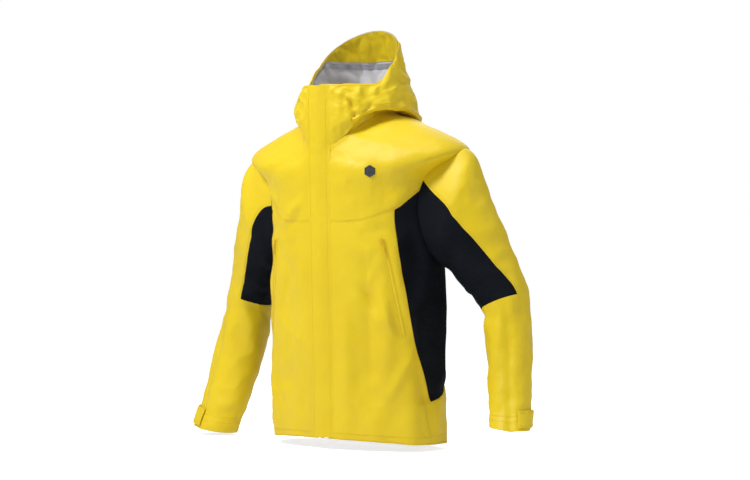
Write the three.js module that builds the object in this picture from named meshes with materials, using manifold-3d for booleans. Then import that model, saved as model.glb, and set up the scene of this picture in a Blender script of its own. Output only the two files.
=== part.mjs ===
// Hooded hardshell jacket standing on its hem, in millimetres.
// +Z is up, the wearer faces -Y and the wearer's left is +X.
import * as THREE from "three";
import { mergeVertices } from "three/addons/utils/BufferGeometryUtils.js";
import Module from "manifold-3d";

const wasm = await Module();
wasm.setup();

// ---------- driving dimensions ----------
const CLOTH = 2.6; // sheet thickness that stands for the laminate, its backer and the air between
const GAP = 0.4; // clearance between neighbouring sheets
const INNER_LIFT = 5.4; // how far inside the outer face the linings lie
const HEM_FRONT = 20; // the front hem is this much higher than the drop tail
const CHIN_Z = 797;
const CENTRE_FRONT = { low: [-124, HEM_FRONT], high: [-146, CHIN_Z] }; // the straight line of the main zip, [y, z]
const ZIP_HALF = 15; // from the zip's centre line to the panel edge
const FLAP = { free: -22, stitch: 33, lift: 7 };
const ARMHOLE = { x: 190, y: 16, z: 549, halfHeight: 141, halfDepth: 67 };
const NECK_Z = { front: 655, side: 738, back: 724 };

const colours = {
  yellow: 0xe6c81a,
  black: 0x10141c,
  grey: 0x9a9da6,
  zip: 0x2b2d31,
  metal: 0x8d9095,
  badge: 0x23262c,
};
const finishes = {
  yellow: [0.62, 0],
  black: [0.85, 0],
  grey: [0.8, 0],
  zip: [0.55, 0],
  metal: [0.35, 0.8],
  badge: [0.5, 0],
};

const jacket = new THREE.Group();
jacket.name = "hardshell_jacket";

// ---------- small helpers ----------
const vec = (x, y, z) => new THREE.Vector3(x, y, z);
const radians = THREE.MathUtils.degToRad;
const mix = THREE.MathUtils.lerp;
const sideName = (side) => (side > 0 ? "left" : "right");

function add(name, geometry, finish) {
  const [roughness, metalness] = finishes[finish];
  const material = new THREE.MeshStandardMaterial({ color: colours[finish], roughness, metalness });
  const mesh = new THREE.Mesh(geometry, material);
  mesh.name = name;
  jacket.add(mesh);
  return mesh;
}

// The value at t of a smooth curve through evenly spaced numbers.
function smooth(values, t) {
  const last = values.length - 1;
  const i = Math.min(last - 1, Math.max(0, Math.floor(t)));
  const f = t - i;
  const at = (k) => values[Math.min(last, Math.max(0, k))];
  const before = i > 0 ? (at(i + 1) - at(i - 1)) / 2 : at(1) - at(0);
  const after = i + 1 < last ? (at(i + 2) - at(i)) / 2 : at(last) - at(last - 1);
  const h = [2 * f ** 3 - 3 * f * f + 1, f ** 3 - 2 * f * f + f, 3 * f * f - 2 * f ** 3, f ** 3 - f * f];
  return at(i) * h[0] + before * h[1] + at(i + 1) * h[2] + after * h[3];
}

// A curve through [x, y] pairs, read at t from 0 to 1.
function curve(pairs) {
  return (t) => pairs[0].map((_, k) => smooth(pairs.map((p) => p[k]), t * (pairs.length - 1)));
}

// The place on a skin, pushed outwards by lift.
function onSkin(skin, a, b, lift) {
  const e = 0.05;
  const across = skin.point(a + e, b).sub(skin.point(a - e, b));
  const along = skin.point(a, b + e * skin.step).sub(skin.point(a, b - e * skin.step));
  const normal = across.cross(along).normalize();
  const place = skin.point(a, b);
  if (normal.dot(place.clone().sub(skin.core(a, b))) < 0) normal.negate();
  return place.addScaledVector(normal, lift);
}

// A closed box-like body from a grid: place(u, v, w) with u, v, w from 0 to 1.
function gridSolid(place, nu, nv, nw = 1) {
  const positions = [];
  const index = [];
  const face = (corner, n, m) => {
    const start = positions.length / 3;
    for (let i = 0; i <= n; i++) {
      for (let j = 0; j <= m; j++) positions.push(...corner(i / n, j / m).toArray());
    }
    for (let i = 0; i < n; i++) {
      for (let j = 0; j < m; j++) {
        const a = start + i * (m + 1) + j;
        index.push(a, a + m + 1, a + m + 2, a, a + m + 2, a + 1);
      }
    }
  };
  face((u, v) => place(u, v, 1), nu, nv);
  face((v, u) => place(u, v, 0), nv, nu);
  face((u, w) => place(u, 0, w), nu, nw);
  face((w, u) => place(u, 1, w), nw, nu);
  face((w, v) => place(0, v, w), nw, nv);
  face((v, w) => place(1, v, w), nv, nw);
  let geometry = new THREE.BufferGeometry();
  geometry.setAttribute("position", new THREE.Float32BufferAttribute(positions, 3));
  geometry.setIndex(index);
  geometry = mergeVertices(geometry, 1e-3);
  return volumeOf(geometry) < 0 ? turnedOut(geometry) : geometry;
}

function volumeOf(geometry) {
  const p = geometry.getAttribute("position");
  const corner = (k) => new THREE.Vector3().fromBufferAttribute(p, geometry.index.getX(k));
  let volume = 0;
  for (let k = 0; k < geometry.index.count; k += 3) {
    volume += corner(k).dot(corner(k + 1).cross(corner(k + 2))) / 6;
  }
  return volume;
}

function turnedOut(geometry) {
  const index = Array.from(geometry.index.array);
  for (let k = 0; k < index.length; k += 3) [index[k + 1], index[k + 2]] = [index[k + 2], index[k + 1]];
  return geometry.setIndex(index);
}

// A cloth sheet on a skin between two side curves, each giving [a, b] at t.
function sheet(skin, from, to, nu, nv, lift = 0, thick = CLOTH) {
  return gridSolid(
    (u, v, w) => {
      const [a0, b0] = from(v);
      const [a1, b1] = to(v);
      return onSkin(skin, mix(a0, a1, u), mix(b0, b1, u), lift - thick * (1 - w));
    },
    nu,
    nv,
  );
}

// A cloth sheet inside four edges: low and high run from left to right, left and right run upwards.
function patch(skin, { low, high, left, right }, nu, nv, lift = 0, thick = CLOTH) {
  const place = (u, v, w) => {
    const [a, b] = [0, 1].map((k) => {
      const ruled = mix(low(u)[k], high(u)[k], v) + mix(left(v)[k], right(v)[k], u);
      return ruled - mix(mix(low(0)[k], low(1)[k], u), mix(high(0)[k], high(1)[k], u), v);
    });
    return onSkin(skin, a, b, lift - thick * (1 - w));
  };
  return gridSolid(place, nu, nv);
}

// A block between two ends of a straight line: along it, across it and out from it.
function bar(start, end, across, out, width, low, high) {
  return gridSolid((u, v, w) => {
    const place = start.clone().lerp(end, v);
    return place.addScaledVector(across, (u - 0.5) * width).addScaledVector(out, mix(low, high, w));
  }, 1, 1);
}

function toSolid(geometry) {
  const bare = geometry.clone();
  bare.deleteAttribute("normal");
  bare.deleteAttribute("uv");
  const merged = mergeVertices(bare, 1e-4);
  const numbers = { numProp: 3 };
  numbers.vertProperties = new Float32Array(merged.attributes.position.array);
  numbers.triVerts = new Uint32Array(merged.index.array);
  return new wasm.Manifold(new wasm.Mesh(numbers));
}

function toGeometry(solid) {
  const mesh = solid.getMesh();
  const geometry = new THREE.BufferGeometry();
  geometry.setAttribute("position", new THREE.BufferAttribute(mesh.vertProperties, 3));
  geometry.setIndex(new THREE.BufferAttribute(mesh.triVerts, 1));
  return geometry;
}

const cut = (geometry, ...tools) =>
  toGeometry(tools.reduce((left, tool) => left.subtract(toSolid(tool)), toSolid(geometry)));
const join = (first, ...others) =>
  toGeometry(others.reduce((left, other) => left.add(toSolid(other)), toSolid(first)));

// ---------- the body's skin: hem, chest, shoulders, neck, collar and hood ----------
const frontY = (z) => {
  const [[y0, z0], [y1, z1]] = [CENTRE_FRONT.low, CENTRE_FRONT.high];
  return mix(y0, y1, (z - z0) / (z1 - z0));
};

// Each ring: half width, then the height at the front, [y, z] at the side and [y, z] at the back.
const rings = [
  [220, HEM_FRONT, [2, 10], [128, 0]],
  [221, 150, [2, 145], [127, 140]],
  [222, 300, [3, 300], [124, 300]],
  [224, 430, [4, 440], [124, 450]],
  [232, 545, [10, 590], [128, 590]],
  [226, 603, [14, 690], [125, 655]],
  [160, 632, [12, 717], [112, 695]],
  [96, NECK_Z.front, [4, NECK_Z.side], [92, NECK_Z.back]],
  [117, 700, [0, 768], [136, 770]],
  [123, 738, [-8, 802], [153, 825]],
  [119, 770, [-20, 832], [134, 893]],
  [107, CHIN_Z, [-28, 856], [64, 927]],
];
const NECK = 7; // where in the list the collar and hood start
const RIM = rings.length - 1;
const halfWidth = (v) => smooth(rings.map((r) => r[0]), v);
const frontZ = (v) => smooth(rings.map((r) => r[1]), v);
const sideYZ = (v) => [0, 1].map((k) => smooth(rings.map((r) => r[2][k]), v));
const backYZ = (v) => [0, 1].map((k) => smooth(rings.map((r) => r[3][k]), v));

// A point of the body's skin at angle degrees round from the centre front, on ring v.
function bodyRing(angle, v) {
  const sin = Math.sin(radians(angle));
  const cos = Math.cos(radians(angle));
  const x = halfWidth(v) * Math.sign(sin) * Math.abs(sin) ** 0.92;
  const [sy, sz] = sideYZ(v);
  const [fz] = [frontZ(v)];
  const [by, bz] = backYZ(v);
  const turn = Math.abs(cos) ** 0.94;
  if (cos > 0) return vec(x, mix(sy, frontY(fz), turn), mix(sz, fz, cos * cos));
  return vec(x, mix(sy, by, turn), mix(sz, bz, cos * cos));
}

// The ring on which the skin is at height z, at that angle.
function ringAt(angle, z) {
  let [low, high] = [0, RIM];
  for (let k = 0; k < 30; k++) {
    const middle = (low + high) / 2;
    if (bodyRing(angle, middle).z < z) low = middle;
    else high = middle;
  }
  return (low + high) / 2;
}

const body = {
  step: 0.1,
  point: (angle, v) => bodyRing(angle, v),
  core: (angle, v) => {
    const place = bodyRing(angle, v);
    return vec(place.x * 0.3, mix(20, place.y, 0.3), place.z - 30);
  },
};

// The body's skin, or its mirror image for the right side.
function onSide(side) {
  const flip = (place) => vec(side * place.x, place.y, place.z);
  return {
    step: body.step,
    point: (angle, v) => flip(body.point(angle, v)),
    core: (angle, v) => flip(body.core(angle, v)),
  };
}

// A curve on the skin through [angle, z] pairs, as [angle, ring] pairs.
const seam = (pairs) => {
  const line = curve(pairs);
  return (t) => {
    const [angle, z] = line(t);
    return [angle, ringAt(angle, z)];
  };
};

// The angle at which ring v is x from the middle at the front.
function angleAtX(x, v) {
  return THREE.MathUtils.radToDeg(Math.asin((Math.abs(x) / halfWidth(v)) ** (1 / 0.92))) * Math.sign(x);
}

// ---------- seams of the body ----------
// All are given for the left side as [angle, z]; the right side mirrors them.
const EDGE_DEGREES = 0.16; // half the gap between two panels that meet side by side
const yokeSeam = [[6, 493], [25, 498], [49.5, 524]];
const sideFront = [[91, 12], [86, 104], [68, 221], [58, 352], [50.5, 470], [49.5, 524]];
const sideBack = [[86, 104], [105, 128], [117, 220], [123, 350], [127, 540]];
const SIDE_STARTS = 1 / 5; // the part of the front line that lies below the side panel
const yokeLine = curve([...yokeSeam, [68, 556], [88, 572]]);
const SEAM_GAP = 0.004; // of a ring
const movedRound = (pairs, degrees) => pairs.map(([angle, z]) => [angle + degrees, z]);

// The hole each sleeve head sits in, as a cutter.
function armholeCutter(side) {
  const { x, y, z, halfHeight, halfDepth } = ARMHOLE;
  const shape = new THREE.CylinderGeometry(1, 1, 200, 28);
  shape.rotateZ(Math.PI / 2);
  shape.scale(1, halfDepth, halfHeight);
  shape.translate(side * (x + 100), y, z);
  return shape;
}

// From the centre front to the side panel, below the yoke.
function frontPanel(side) {
  const topRing = ringAt(...yokeSeam[0]);
  const left = (t) => [angleAtX(ZIP_HALF + GAP, topRing * t), topRing * t];
  const high = (t) => {
    const [angle, z] = yokeLine(t / 2);
    return t === 0 ? left(1) : [angle, ringAt(angle, z) - SEAM_GAP];
  };
  const outline = curve(sideFront);
  const right = (t) => {
    const [angle, z] = outline(t);
    if (t === 0) return [angle, 0];
    return t === 1 ? high(1) : [angle - EDGE_DEGREES, ringAt(angle, z)];
  };
  const low = (t) => [mix(left(0)[0], right(0)[0], t), 0];
  const panel = patch(onSide(side), { low, high, left, right }, 9, 10);
  add(`front_panel_${sideName(side)}`, cut(panel, pocketSlot(side)), "yellow");
}

// From the side panel round to the centre back and across to the other side.
function backPanel() {
  const below = curve(sideFront);
  const above = curve(sideBack);
  const edge = (side) => (t) => {
    const [angle, z] = t < SIDE_STARTS ? below(t) : above((t - SIDE_STARTS) / (1 - SIDE_STARTS));
    return [side * (angle + EDGE_DEGREES) + (side < 0 ? 360 : 0), t === 0 ? 0 : ringAt(angle, z)];
  };
  add("back_panel", sheet(body, edge(1), edge(-1), 16, 10), "yellow");
}

function sidePanel(side) {
  const front = seam(movedRound(sideFront, EDGE_DEGREES));
  const left = (t) => front(mix(SIDE_STARTS, 1, t));
  const right = seam(movedRound(sideBack, -EDGE_DEGREES));
  const high = (t) => {
    const [angle, z] = yokeLine(mix(0.5, 1, Math.min(1, t / 0.6)));
    if (t === 0) return left(1);
    const late = Math.max(0, (t - 0.6) / 0.4);
    return [mix(angle, right(1)[0], late), mix(ringAt(angle, z) - SEAM_GAP, right(1)[1], late)];
  };
  const low = (t) => [mix(left(0)[0], right(0)[0], t), mix(left(0)[1], right(0)[1], t)];
  const panel = patch(onSide(side), { low, high, left, right }, 10, 8);
  add(`side_panel_${sideName(side)}`, cut(panel, armholeCutter(side)), "black");
}

// The front yoke reaches from the zip over the chest to the shoulder seam.
function frontYoke(side) {
  const lowRing = ringAt(...yokeSeam[0]) + SEAM_GAP;
  const left = (t) => {
    const v = mix(lowRing, NECK - 0.03, t);
    return [angleAtX(ZIP_HALF + GAP, v), v];
  };
  const low = (t) => {
    const [angle, z] = yokeLine(t);
    return t === 0 ? left(0) : [angle, ringAt(angle, z) + SEAM_GAP];
  };
  const high = (t) => [mix(left(1)[0], 88, t), NECK - 0.03];
  const right = (t) => [88, mix(low(1)[1], NECK - 0.03, t)];
  const panel = patch(onSide(side), { low, high, left, right }, 12, 8);
  add(`front_yoke_${sideName(side)}`, cut(panel, armholeCutter(side)), "yellow");
}

function shoulderYoke() {
  const low = (t) => [mix(88.6, 271.4, t), ringAt(...sideBack.at(-1)) + 4 * SEAM_GAP];
  const high = (t) => [mix(88.6, 271.4, t), NECK - 0.03];
  const panel = sheet(body, low, high, 8, 18);
  add("back_yoke", cut(panel, armholeCutter(1), armholeCutter(-1)), "yellow");
}

// ---------- the collar, chin guard and hood ----------
const COLLAR_ANGLE = 58; // where the chin guard meets the hood's side panel
const CROWN_ANGLE = 142; // where the hood's side panel meets the centre panel
const BRIM_DEPTH = 0.45; // of a ring

function chinGuard(side) {
  const near = (t) => {
    const v = mix(NECK + 0.02, RIM, t);
    return [side * angleAtX(ZIP_HALF + GAP, v), v];
  };
  const far = (t) => [side * (COLLAR_ANGLE - 0.3), mix(NECK + 0.02, RIM, t)];
  add(`chin_guard_${sideName(side)}`, sheet(body, near, far, 6, 8), "yellow");
}

function hoodSide(side) {
  const near = (t) => [side * (COLLAR_ANGLE + 0.3), mix(NECK + 0.02, RIM, t)];
  const far = (t) => [side * (CROWN_ANGLE - 0.3), mix(NECK + 0.02, RIM - BRIM_DEPTH * 0.9, t)];
  add(`hood_side_${sideName(side)}`, sheet(body, near, far, 8, 9), "yellow");
}

function hoodCentre() {
  const near = (t) => [CROWN_ANGLE + 0.3, mix(NECK + 0.02, RIM - BRIM_DEPTH, t)];
  const far = (t) => [360 - CROWN_ANGLE - 0.3, mix(NECK + 0.02, RIM - BRIM_DEPTH, t)];
  add("hood_centre", sheet(body, near, far, 8, 9), "yellow");
}

// The stiffened peak along the back of the opening, folded from the crown.
function hoodBrim() {
  const low = (t) => [mix(92, 268, t), RIM - BRIM_DEPTH * Math.sin(Math.PI * t) ** 0.6 * 0.93 - 0.02];
  const high = (t) => [mix(92, 268, t), RIM + 0.02];
  const brim = sheet(body, low, high, 3, 18, CLOTH + 1.2, CLOTH);
  add("hood_brim", brim, "yellow");
}

// How far below the rim the facing ends, part t of the way round the opening.
const facingDepth = (t) => 0.1 + 0.75 * Math.sin(Math.PI * t) ** 0.7;
const roundOpening = (t) => mix(64, 296, t);

// A strip of cloth inside the opening, behind the brim.
function brimFacing() {
  const low = (t) => [roundOpening(t), RIM - facingDepth(t)];
  const high = (t) => [roundOpening(t), RIM - 0.02];
  add("brim_facing", sheet(body, low, high, 3, 18, -INNER_LIFT, 1.6), "yellow");
}

function hoodLining() {
  const low = (t) => [roundOpening(t), NECK + 0.3];
  const high = (t) => [roundOpening(t), RIM - facingDepth(t) - 0.05];
  add("hood_lining", sheet(body, low, high, 5, 18, -INNER_LIFT, 1.6), "grey");
}

// ---------- centre front: zip, flap and placket ----------
const upFront = vec(0, CENTRE_FRONT.high[0] - CENTRE_FRONT.low[0], CHIN_Z - HEM_FRONT).normalize();
const outFront = vec(0, -upFront.z, upFront.y);
const alongFront = (z, out = 0) => vec(0, frontY(z), z).addScaledVector(outFront, out);
const ACROSS = vec(1, 0, 0);

function mainZip() {
  const low = HEM_FRONT + 6;
  const high = CHIN_Z - 6;
  for (const side of [1, -1]) {
    const shift = vec(side * 8.7, 0, 0);
    const tape = bar(alongFront(low).add(shift), alongFront(high).add(shift), ACROSS, outFront, 12, -2.2, -1);
    add(`zip_tape_${sideName(side)}`, tape, "zip");
  }
  const teeth = 48;
  const chain = gridSolid((u, v, w) => {
    const wave = Math.round(v * teeth) % 2 ? 0.5 : 0;
    const x = (u - 0.5) * 2 * (1.6 + wave);
    return alongFront(mix(low, high, v), mix(-2.4, 0, w)).addScaledVector(ACROSS, x);
  }, 1, teeth);
  add("zip_chain", chain, "zip");
  const stop = bar(alongFront(low - 5), alongFront(low - 0.4), ACROSS, outFront, 9, -2.6, 0.6);
  add("zip_bottom_stop", stop, "metal");
}

function zipSlider() {
  const high = CHIN_Z - 12;
  const low = high - 13;
  const plate = bar(alongFront(low), alongFront(high), ACROSS, outFront, 10, 0.5, 1.8);
  const rails = [1, -1].map((side) => {
    const shift = vec(side * 4, 0, 0);
    return bar(alongFront(low).add(shift), alongFront(high).add(shift), ACROSS, outFront, 2, -0.6, 1);
  });
  const bridge = bar(alongFront(low + 4), alongFront(high - 3), ACROSS, outFront, 3, 1.6, 2.8);
  add("zip_slider", join(plate, ...rails, bridge), "metal");
  const pull = bar(alongFront(low - 22), alongFront(low + 3.6), ACROSS, outFront, 7, 3, 4.2);
  add("zip_pull", pull, "metal");
}

// The storm flap: free on the wearer's right of the zip, stitched down on the left.
function stormFlap() {
  const place = (u, v, w) => {
    const ring = mix(0.02, RIM - 0.06, v);
    const x = mix(FLAP.free, FLAP.stitch, u);
    const rise = FLAP.lift - (FLAP.lift - 0.8) * THREE.MathUtils.smoothstep(u, 0.62, 1);
    return onSkin(body, angleAtX(x || 0.01, ring), ring, rise + CLOTH * 0.8 * w);
  };
  add("storm_flap", gridSolid(place, 6, 14), "yellow");
}

// The wind guard behind the zip.
function placket() {
  const place = (u, v, w) => {
    const x = mix(-26, 24, u);
    const z = mix(HEM_FRONT + 8, CHIN_Z - 8, v);
    return alongFront(z, -6.6 + 1.6 * w).addScaledVector(ACROSS, x);
  };
  const bend = (u, v, w) => place(u, v, w).add(vec(0, 3 * (2 * u - 1) ** 2, 0));
  add("inner_placket", gridSolid(bend, 4, 1), "grey");
}

// ---------- hand pockets ----------
const POCKET = { top: [40, 462], bottom: [55.5, 246], half: 7.5 };

// The pocket's straight line, with its own across and out directions.
function pocketLine(side) {
  const end = ([angle, z]) => onSkin(body, side * angle, ringAt(side * angle, z), -1.2);
  const top = end(POCKET.top);
  const bottom = end(POCKET.bottom);
  const along = top.clone().sub(bottom).normalize();
  const middleAngle = side * (POCKET.top[0] + POCKET.bottom[0]) / 2;
  const middleZ = (POCKET.top[1] + POCKET.bottom[1]) / 2;
  const ring = ringAt(middleAngle, middleZ);
  const out = onSkin(body, middleAngle, ring, 1).sub(onSkin(body, middleAngle, ring, 0));
  out.addScaledVector(along, -out.dot(along)).normalize();
  const across = along.clone().cross(out).normalize();
  const at = (t, x, rise) =>
    bottom.clone().lerp(top, t).addScaledVector(across, x).addScaledVector(out, rise);
  return { top, bottom, along, across, out, at };
}

function pocketSlot(side) {
  const { at, across, out } = pocketLine(side);
  return bar(at(-0.01, 0, 0), at(1.01, 0, 0), across, out, 2 * POCKET.half + 1, -12, 14);
}

function pocket(side) {
  const name = sideName(side);
  const { at, across, out } = pocketLine(side);
  const tape = bar(at(0, 0, 0), at(1, 0, 0), across, out, 2 * POCKET.half, -0.2, 1);
  const ridge = bar(at(0.01, 0, 0), at(0.99, 0, 0), across, out, 3, 0.8, 1.8);
  add(`pocket_zip_${name}`, join(tape, ridge), "yellow");
  const plate = bar(at(0.93, 0, 0), at(0.985, 0, 0), across, out, 8, 2.2, 3.4);
  const rails = [1, -1].map((k) => bar(at(0.93, k * 3, 0), at(0.985, k * 3, 0), across, out, 2, 1.4, 2.6));
  const bridge = bar(at(0.945, 0, 0), at(0.975, 0, 0), across, out, 2.4, 3.2, 4.6);
  add(`pocket_slider_${name}`, join(plate, ...rails, bridge), "metal");
  const pull = bar(at(0.82, 0, 0), at(0.94, 0, 0), across, out, 4, 4.9, 6.3);
  add(`pocket_pull_${name}`, pull, "zip");
  const near = seam([[POCKET.top[0] - 30, POCKET.bottom[1] - 60], [POCKET.top[0] - 26, POCKET.top[1] - 30]]);
  const far = seam([[POCKET.bottom[0] + 1, POCKET.bottom[1] - 40], POCKET.top]);
  add(`pocket_bag_${name}`, sheet(onSide(side), near, far, 5, 4, -9, 3), "grey");
}

// ---------- chest badge, hem facing and hanger loop ----------
function chestBadge() {
  const ring = ringAt(36, 606);
  const place = onSkin(body, 36, ring, GAP);
  const out = onSkin(body, 36, ring, 1).sub(onSkin(body, 36, ring, 0)).normalize();
  const disc = new THREE.CylinderGeometry(13.5, 13.5, 1.4, 6);
  disc.applyQuaternion(new THREE.Quaternion().setFromUnitVectors(vec(0, 1, 0), out));
  disc.translate(...place.addScaledVector(out, 1.4).toArray());
  add("chest_badge", disc, "badge");
}

function hemFacing() {
  const low = (t) => [mix(9, 351, t), 0.006];
  const high = (t) => [mix(9, 351, t), 0.26];
  add("hem_facing", sheet(body, low, high, 1, 30, -INNER_LIFT, 1.8), "grey");
}

// The loop the jacket is hung by, inside the back of the neck.
function hangerLoop() {
  const [backY, backZ] = backYZ(NECK + 0.02);
  const outline = new THREE.Shape();
  outline.moveTo(-32, -16).lineTo(32, -16).lineTo(32, 0).lineTo(-32, 0).lineTo(-32, -16);
  const slot = new THREE.Path();
  slot.moveTo(-26, -12).lineTo(-26, -5).lineTo(26, -5).lineTo(26, -12).lineTo(-26, -12);
  outline.holes.push(slot);
  const loop = new THREE.ExtrudeGeometry(outline, { depth: 2, bevelEnabled: false });
  loop.rotateX(Math.PI / 2);
  loop.translate(0, backY - 9, backZ + 6);
  add("hanger_loop", loop, "zip");
}

// ---------- sleeves ----------
// Each ring: outer and inner point as [x, z], the middle's y and the half depth.
const upperRings = [
  [[206, 684], [216, 412], 16, 62],
  [[256, 679], [225, 409], 17, 63],
  [[304, 649], [234, 404], 20, 64],
  [[338, 597], [244, 396], 27, 64],
  [[358, 520], [256, 381], 38, 61],
  [[384, 430], [280, 347], 50, 56],
  [[409, 345], [307, 306], 60, 52],
];
const forearmRings = {
  left: [
    [[409, 344], [307, 305], 60, 51.5],
    [[434, 235], [327, 215], 48, 49],
    [[453, 142], [352, 124], 24, 46],
    [[473, 60], [378, 44], -8, 43],
  ],
  right: [
    [[409, 344], [307, 305], 60, 51.5],
    [[434, 222], [323, 206], 47, 50],
    [[450, 116], [346, 98], 24, 47],
    [[469, 18], [371, 2], 0, 44],
  ],
};

function sleeveSkin(list, side) {
  const read = (pick, s) => smooth(list.map(pick), s);
  const middle = (s) => vec(
    side * (read((r) => r[0][0], s) + read((r) => r[1][0], s)) / 2,
    read((r) => r[2], s),
    (read((r) => r[0][1], s) + read((r) => r[1][1], s)) / 2,
  );
  const point = (angle, s) => {
    const reach = vec(
      side * (read((r) => r[0][0], s) - read((r) => r[1][0], s)) / 2,
      0,
      (read((r) => r[0][1], s) - read((r) => r[1][1], s)) / 2,
    );
    const depth = vec(0, -read((r) => r[3], s), 0);
    return middle(s)
      .addScaledVector(reach, Math.cos(radians(angle)))
      .addScaledVector(depth, Math.sin(radians(angle)));
  };
  return { step: 0.1, point, core: (angle, s) => middle(s), last: list.length - 1 };
}

// Angles round the sleeve: 0 is the outside, 90 the front, 180 the inside, 270 the back.
// The gusset's front edge at each ring: the left sleeve hangs turned out more than the right.
const gussetEdges = {
  left: [71, 78, 83, 81, 70, 50, 28],
  right: [72, 76, 82, 89, 92, 92, 94],
};

function upperSleeve(side) {
  const skin = sleeveSkin(upperRings, side);
  const gussetFront = (t) => smooth(gussetEdges[sideName(side)], skin.last * t);
  const gussetBack = (t) => mix(288, 242, t ** 2);
  const outerFront = (t) => [gussetFront(t) - 0.4, skin.last * t];
  const outerBack = (t) => [gussetBack(t) - 360 + 0.4, skin.last * t];
  add(`sleeve_upper_${sideName(side)}`, sheet(skin, outerBack, outerFront, 11, 10), "yellow");
  const innerFront = (t) => [gussetFront(t) + 0.4, skin.last * t];
  const innerBack = (t) => [gussetBack(t) - 0.4, skin.last * t];
  add(`sleeve_gusset_${sideName(side)}`, sheet(skin, innerFront, innerBack, 8, 10), "black");
}

// The forearm's tube is open along its seam by one gap, so that it is a simple closed sheet.
const TAB = { left: 38, right: 78, sweep: 88, low: 0.9, high: 0.44 };

function forearm(side) {
  const name = sideName(side);
  const skin = sleeveSkin(forearmRings[name], side);
  const start = (t) => [TAB[name] + 3.3, skin.last * t];
  const end = (t) => [TAB[name] + 363 - 0.6, skin.last * t];
  add(`sleeve_forearm_${name}`, sheet(skin, start, end, 20, 5), "yellow");
  cuffTab(side, skin);
}

// The tab wraps back round the cuff from its sewn end, over a field of loop pile.
function cuffTab(side, skin) {
  const name = sideName(side);
  const band = (from, to, high, low, lift, thick) => {
    const a = (t) => [mix(TAB[name] - from, TAB[name] - to, t), skin.last - low];
    const b = (t) => [mix(TAB[name] - from, TAB[name] - to, t), skin.last - high];
    return sheet(skin, a, b, 1, 10, lift, thick);
  };
  add(`cuff_loop_patch_${name}`, band(16, TAB.sweep + 34, 0.44, 0.1, GAP + 1, 1), "zip");
  add(`cuff_hook_patch_${name}`, band(48, TAB.sweep - 4, 0.4, 0.14, 2 * GAP + 2, 1), "zip");
  add(`cuff_tab_${name}`, band(1, TAB.sweep, 0.48, 0.06, 3 * GAP + 4.2, 2.2), "yellow");
}

// ---------- assembly ----------
for (const side of [1, -1]) {
  frontPanel(side);
  frontYoke(side);
  sidePanel(side);
  chinGuard(side);
  hoodSide(side);
  pocket(side);
  upperSleeve(side);
  forearm(side);
}
backPanel();
shoulderYoke();
hoodCentre();
hoodBrim();
brimFacing();
hoodLining();
mainZip();
zipSlider();
stormFlap();
placket();
chestBadge();
hemFacing();
hangerLoop();

// The origin is the middle of the jacket's own box, at its lowest point.
const box = new THREE.Box3().setFromObject(jacket);
const centre = box.getCenter(vec(0, 0, 0));
jacket.position.set(-centre.x, -centre.y, -box.min.z);

export default jacket;
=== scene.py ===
"""A hooded hardshell jacket, standing as if worn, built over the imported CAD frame.

Lengths are millimetres of the jacket's own size until a mesh is made; place() turns them into the
frame's metres. The skin is a stack of rings from hem to hood. Every cloth piece is cut from a grid on
that skin or on a sleeve, after folds have been laid in it and it has been settled as cloth.
"""

import itertools
import math

import bpy
import numpy as np
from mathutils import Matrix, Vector, noise
from mathutils.bvhtree import BVHTree


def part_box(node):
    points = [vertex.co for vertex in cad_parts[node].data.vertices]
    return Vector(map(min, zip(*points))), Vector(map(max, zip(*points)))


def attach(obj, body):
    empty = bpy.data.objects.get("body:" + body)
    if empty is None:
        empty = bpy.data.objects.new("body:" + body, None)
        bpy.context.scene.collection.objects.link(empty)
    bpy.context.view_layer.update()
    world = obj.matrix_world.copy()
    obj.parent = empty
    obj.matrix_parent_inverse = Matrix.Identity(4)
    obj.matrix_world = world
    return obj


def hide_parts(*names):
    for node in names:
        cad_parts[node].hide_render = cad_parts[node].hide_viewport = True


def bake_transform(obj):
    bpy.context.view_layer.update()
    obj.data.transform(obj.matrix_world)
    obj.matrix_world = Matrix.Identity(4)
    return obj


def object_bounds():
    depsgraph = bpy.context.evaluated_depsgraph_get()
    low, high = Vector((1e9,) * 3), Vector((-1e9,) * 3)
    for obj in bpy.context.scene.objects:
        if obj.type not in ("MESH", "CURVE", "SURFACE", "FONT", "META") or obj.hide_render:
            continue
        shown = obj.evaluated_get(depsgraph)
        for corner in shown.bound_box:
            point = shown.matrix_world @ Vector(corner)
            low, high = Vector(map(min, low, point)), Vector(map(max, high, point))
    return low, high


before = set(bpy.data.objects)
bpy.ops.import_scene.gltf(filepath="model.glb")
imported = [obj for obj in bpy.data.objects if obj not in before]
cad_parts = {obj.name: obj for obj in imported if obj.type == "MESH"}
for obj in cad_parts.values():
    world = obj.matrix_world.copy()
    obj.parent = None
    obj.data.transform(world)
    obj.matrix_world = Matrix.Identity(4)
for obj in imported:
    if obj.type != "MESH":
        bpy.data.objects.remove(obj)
CAD_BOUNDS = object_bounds()

# ---------- where things are, from the frame ----------
NOMINAL_HEIGHT = 931.1
NOMINAL_BACK = 128.6
MM = CAD_BOUNDS[1][2] / NOMINAL_HEIGHT
ZIP_LOW, ZIP_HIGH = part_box("zip_chain")
ORIGIN = np.array([(ZIP_LOW.x + ZIP_HIGH.x) / 2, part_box("back_panel")[1].y - NOMINAL_BACK * MM, 0.0])
SIDES = {"left": 1, "right": -1}


def place(points):
    """Garment millimetres to the frame's metres."""
    return np.asarray(points, float) * MM + ORIGIN


def mm_of(points):
    """The frame's metres to garment millimetres."""
    return (np.asarray(points, float) - ORIGIN) / MM


FRONT_LOW = mm_of([0, ZIP_HIGH.y, ZIP_LOW.z])[1:]
FRONT_HIGH = mm_of([0, ZIP_LOW.y, ZIP_HIGH.z])[1:]


def front_y(z):
    """The centre front leans on one straight line, the line of the zip."""
    slope = (FRONT_HIGH[0] - FRONT_LOW[0]) / (FRONT_HIGH[1] - FRONT_LOW[1])
    return FRONT_LOW[0] + slope * (z - FRONT_LOW[1])


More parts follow.
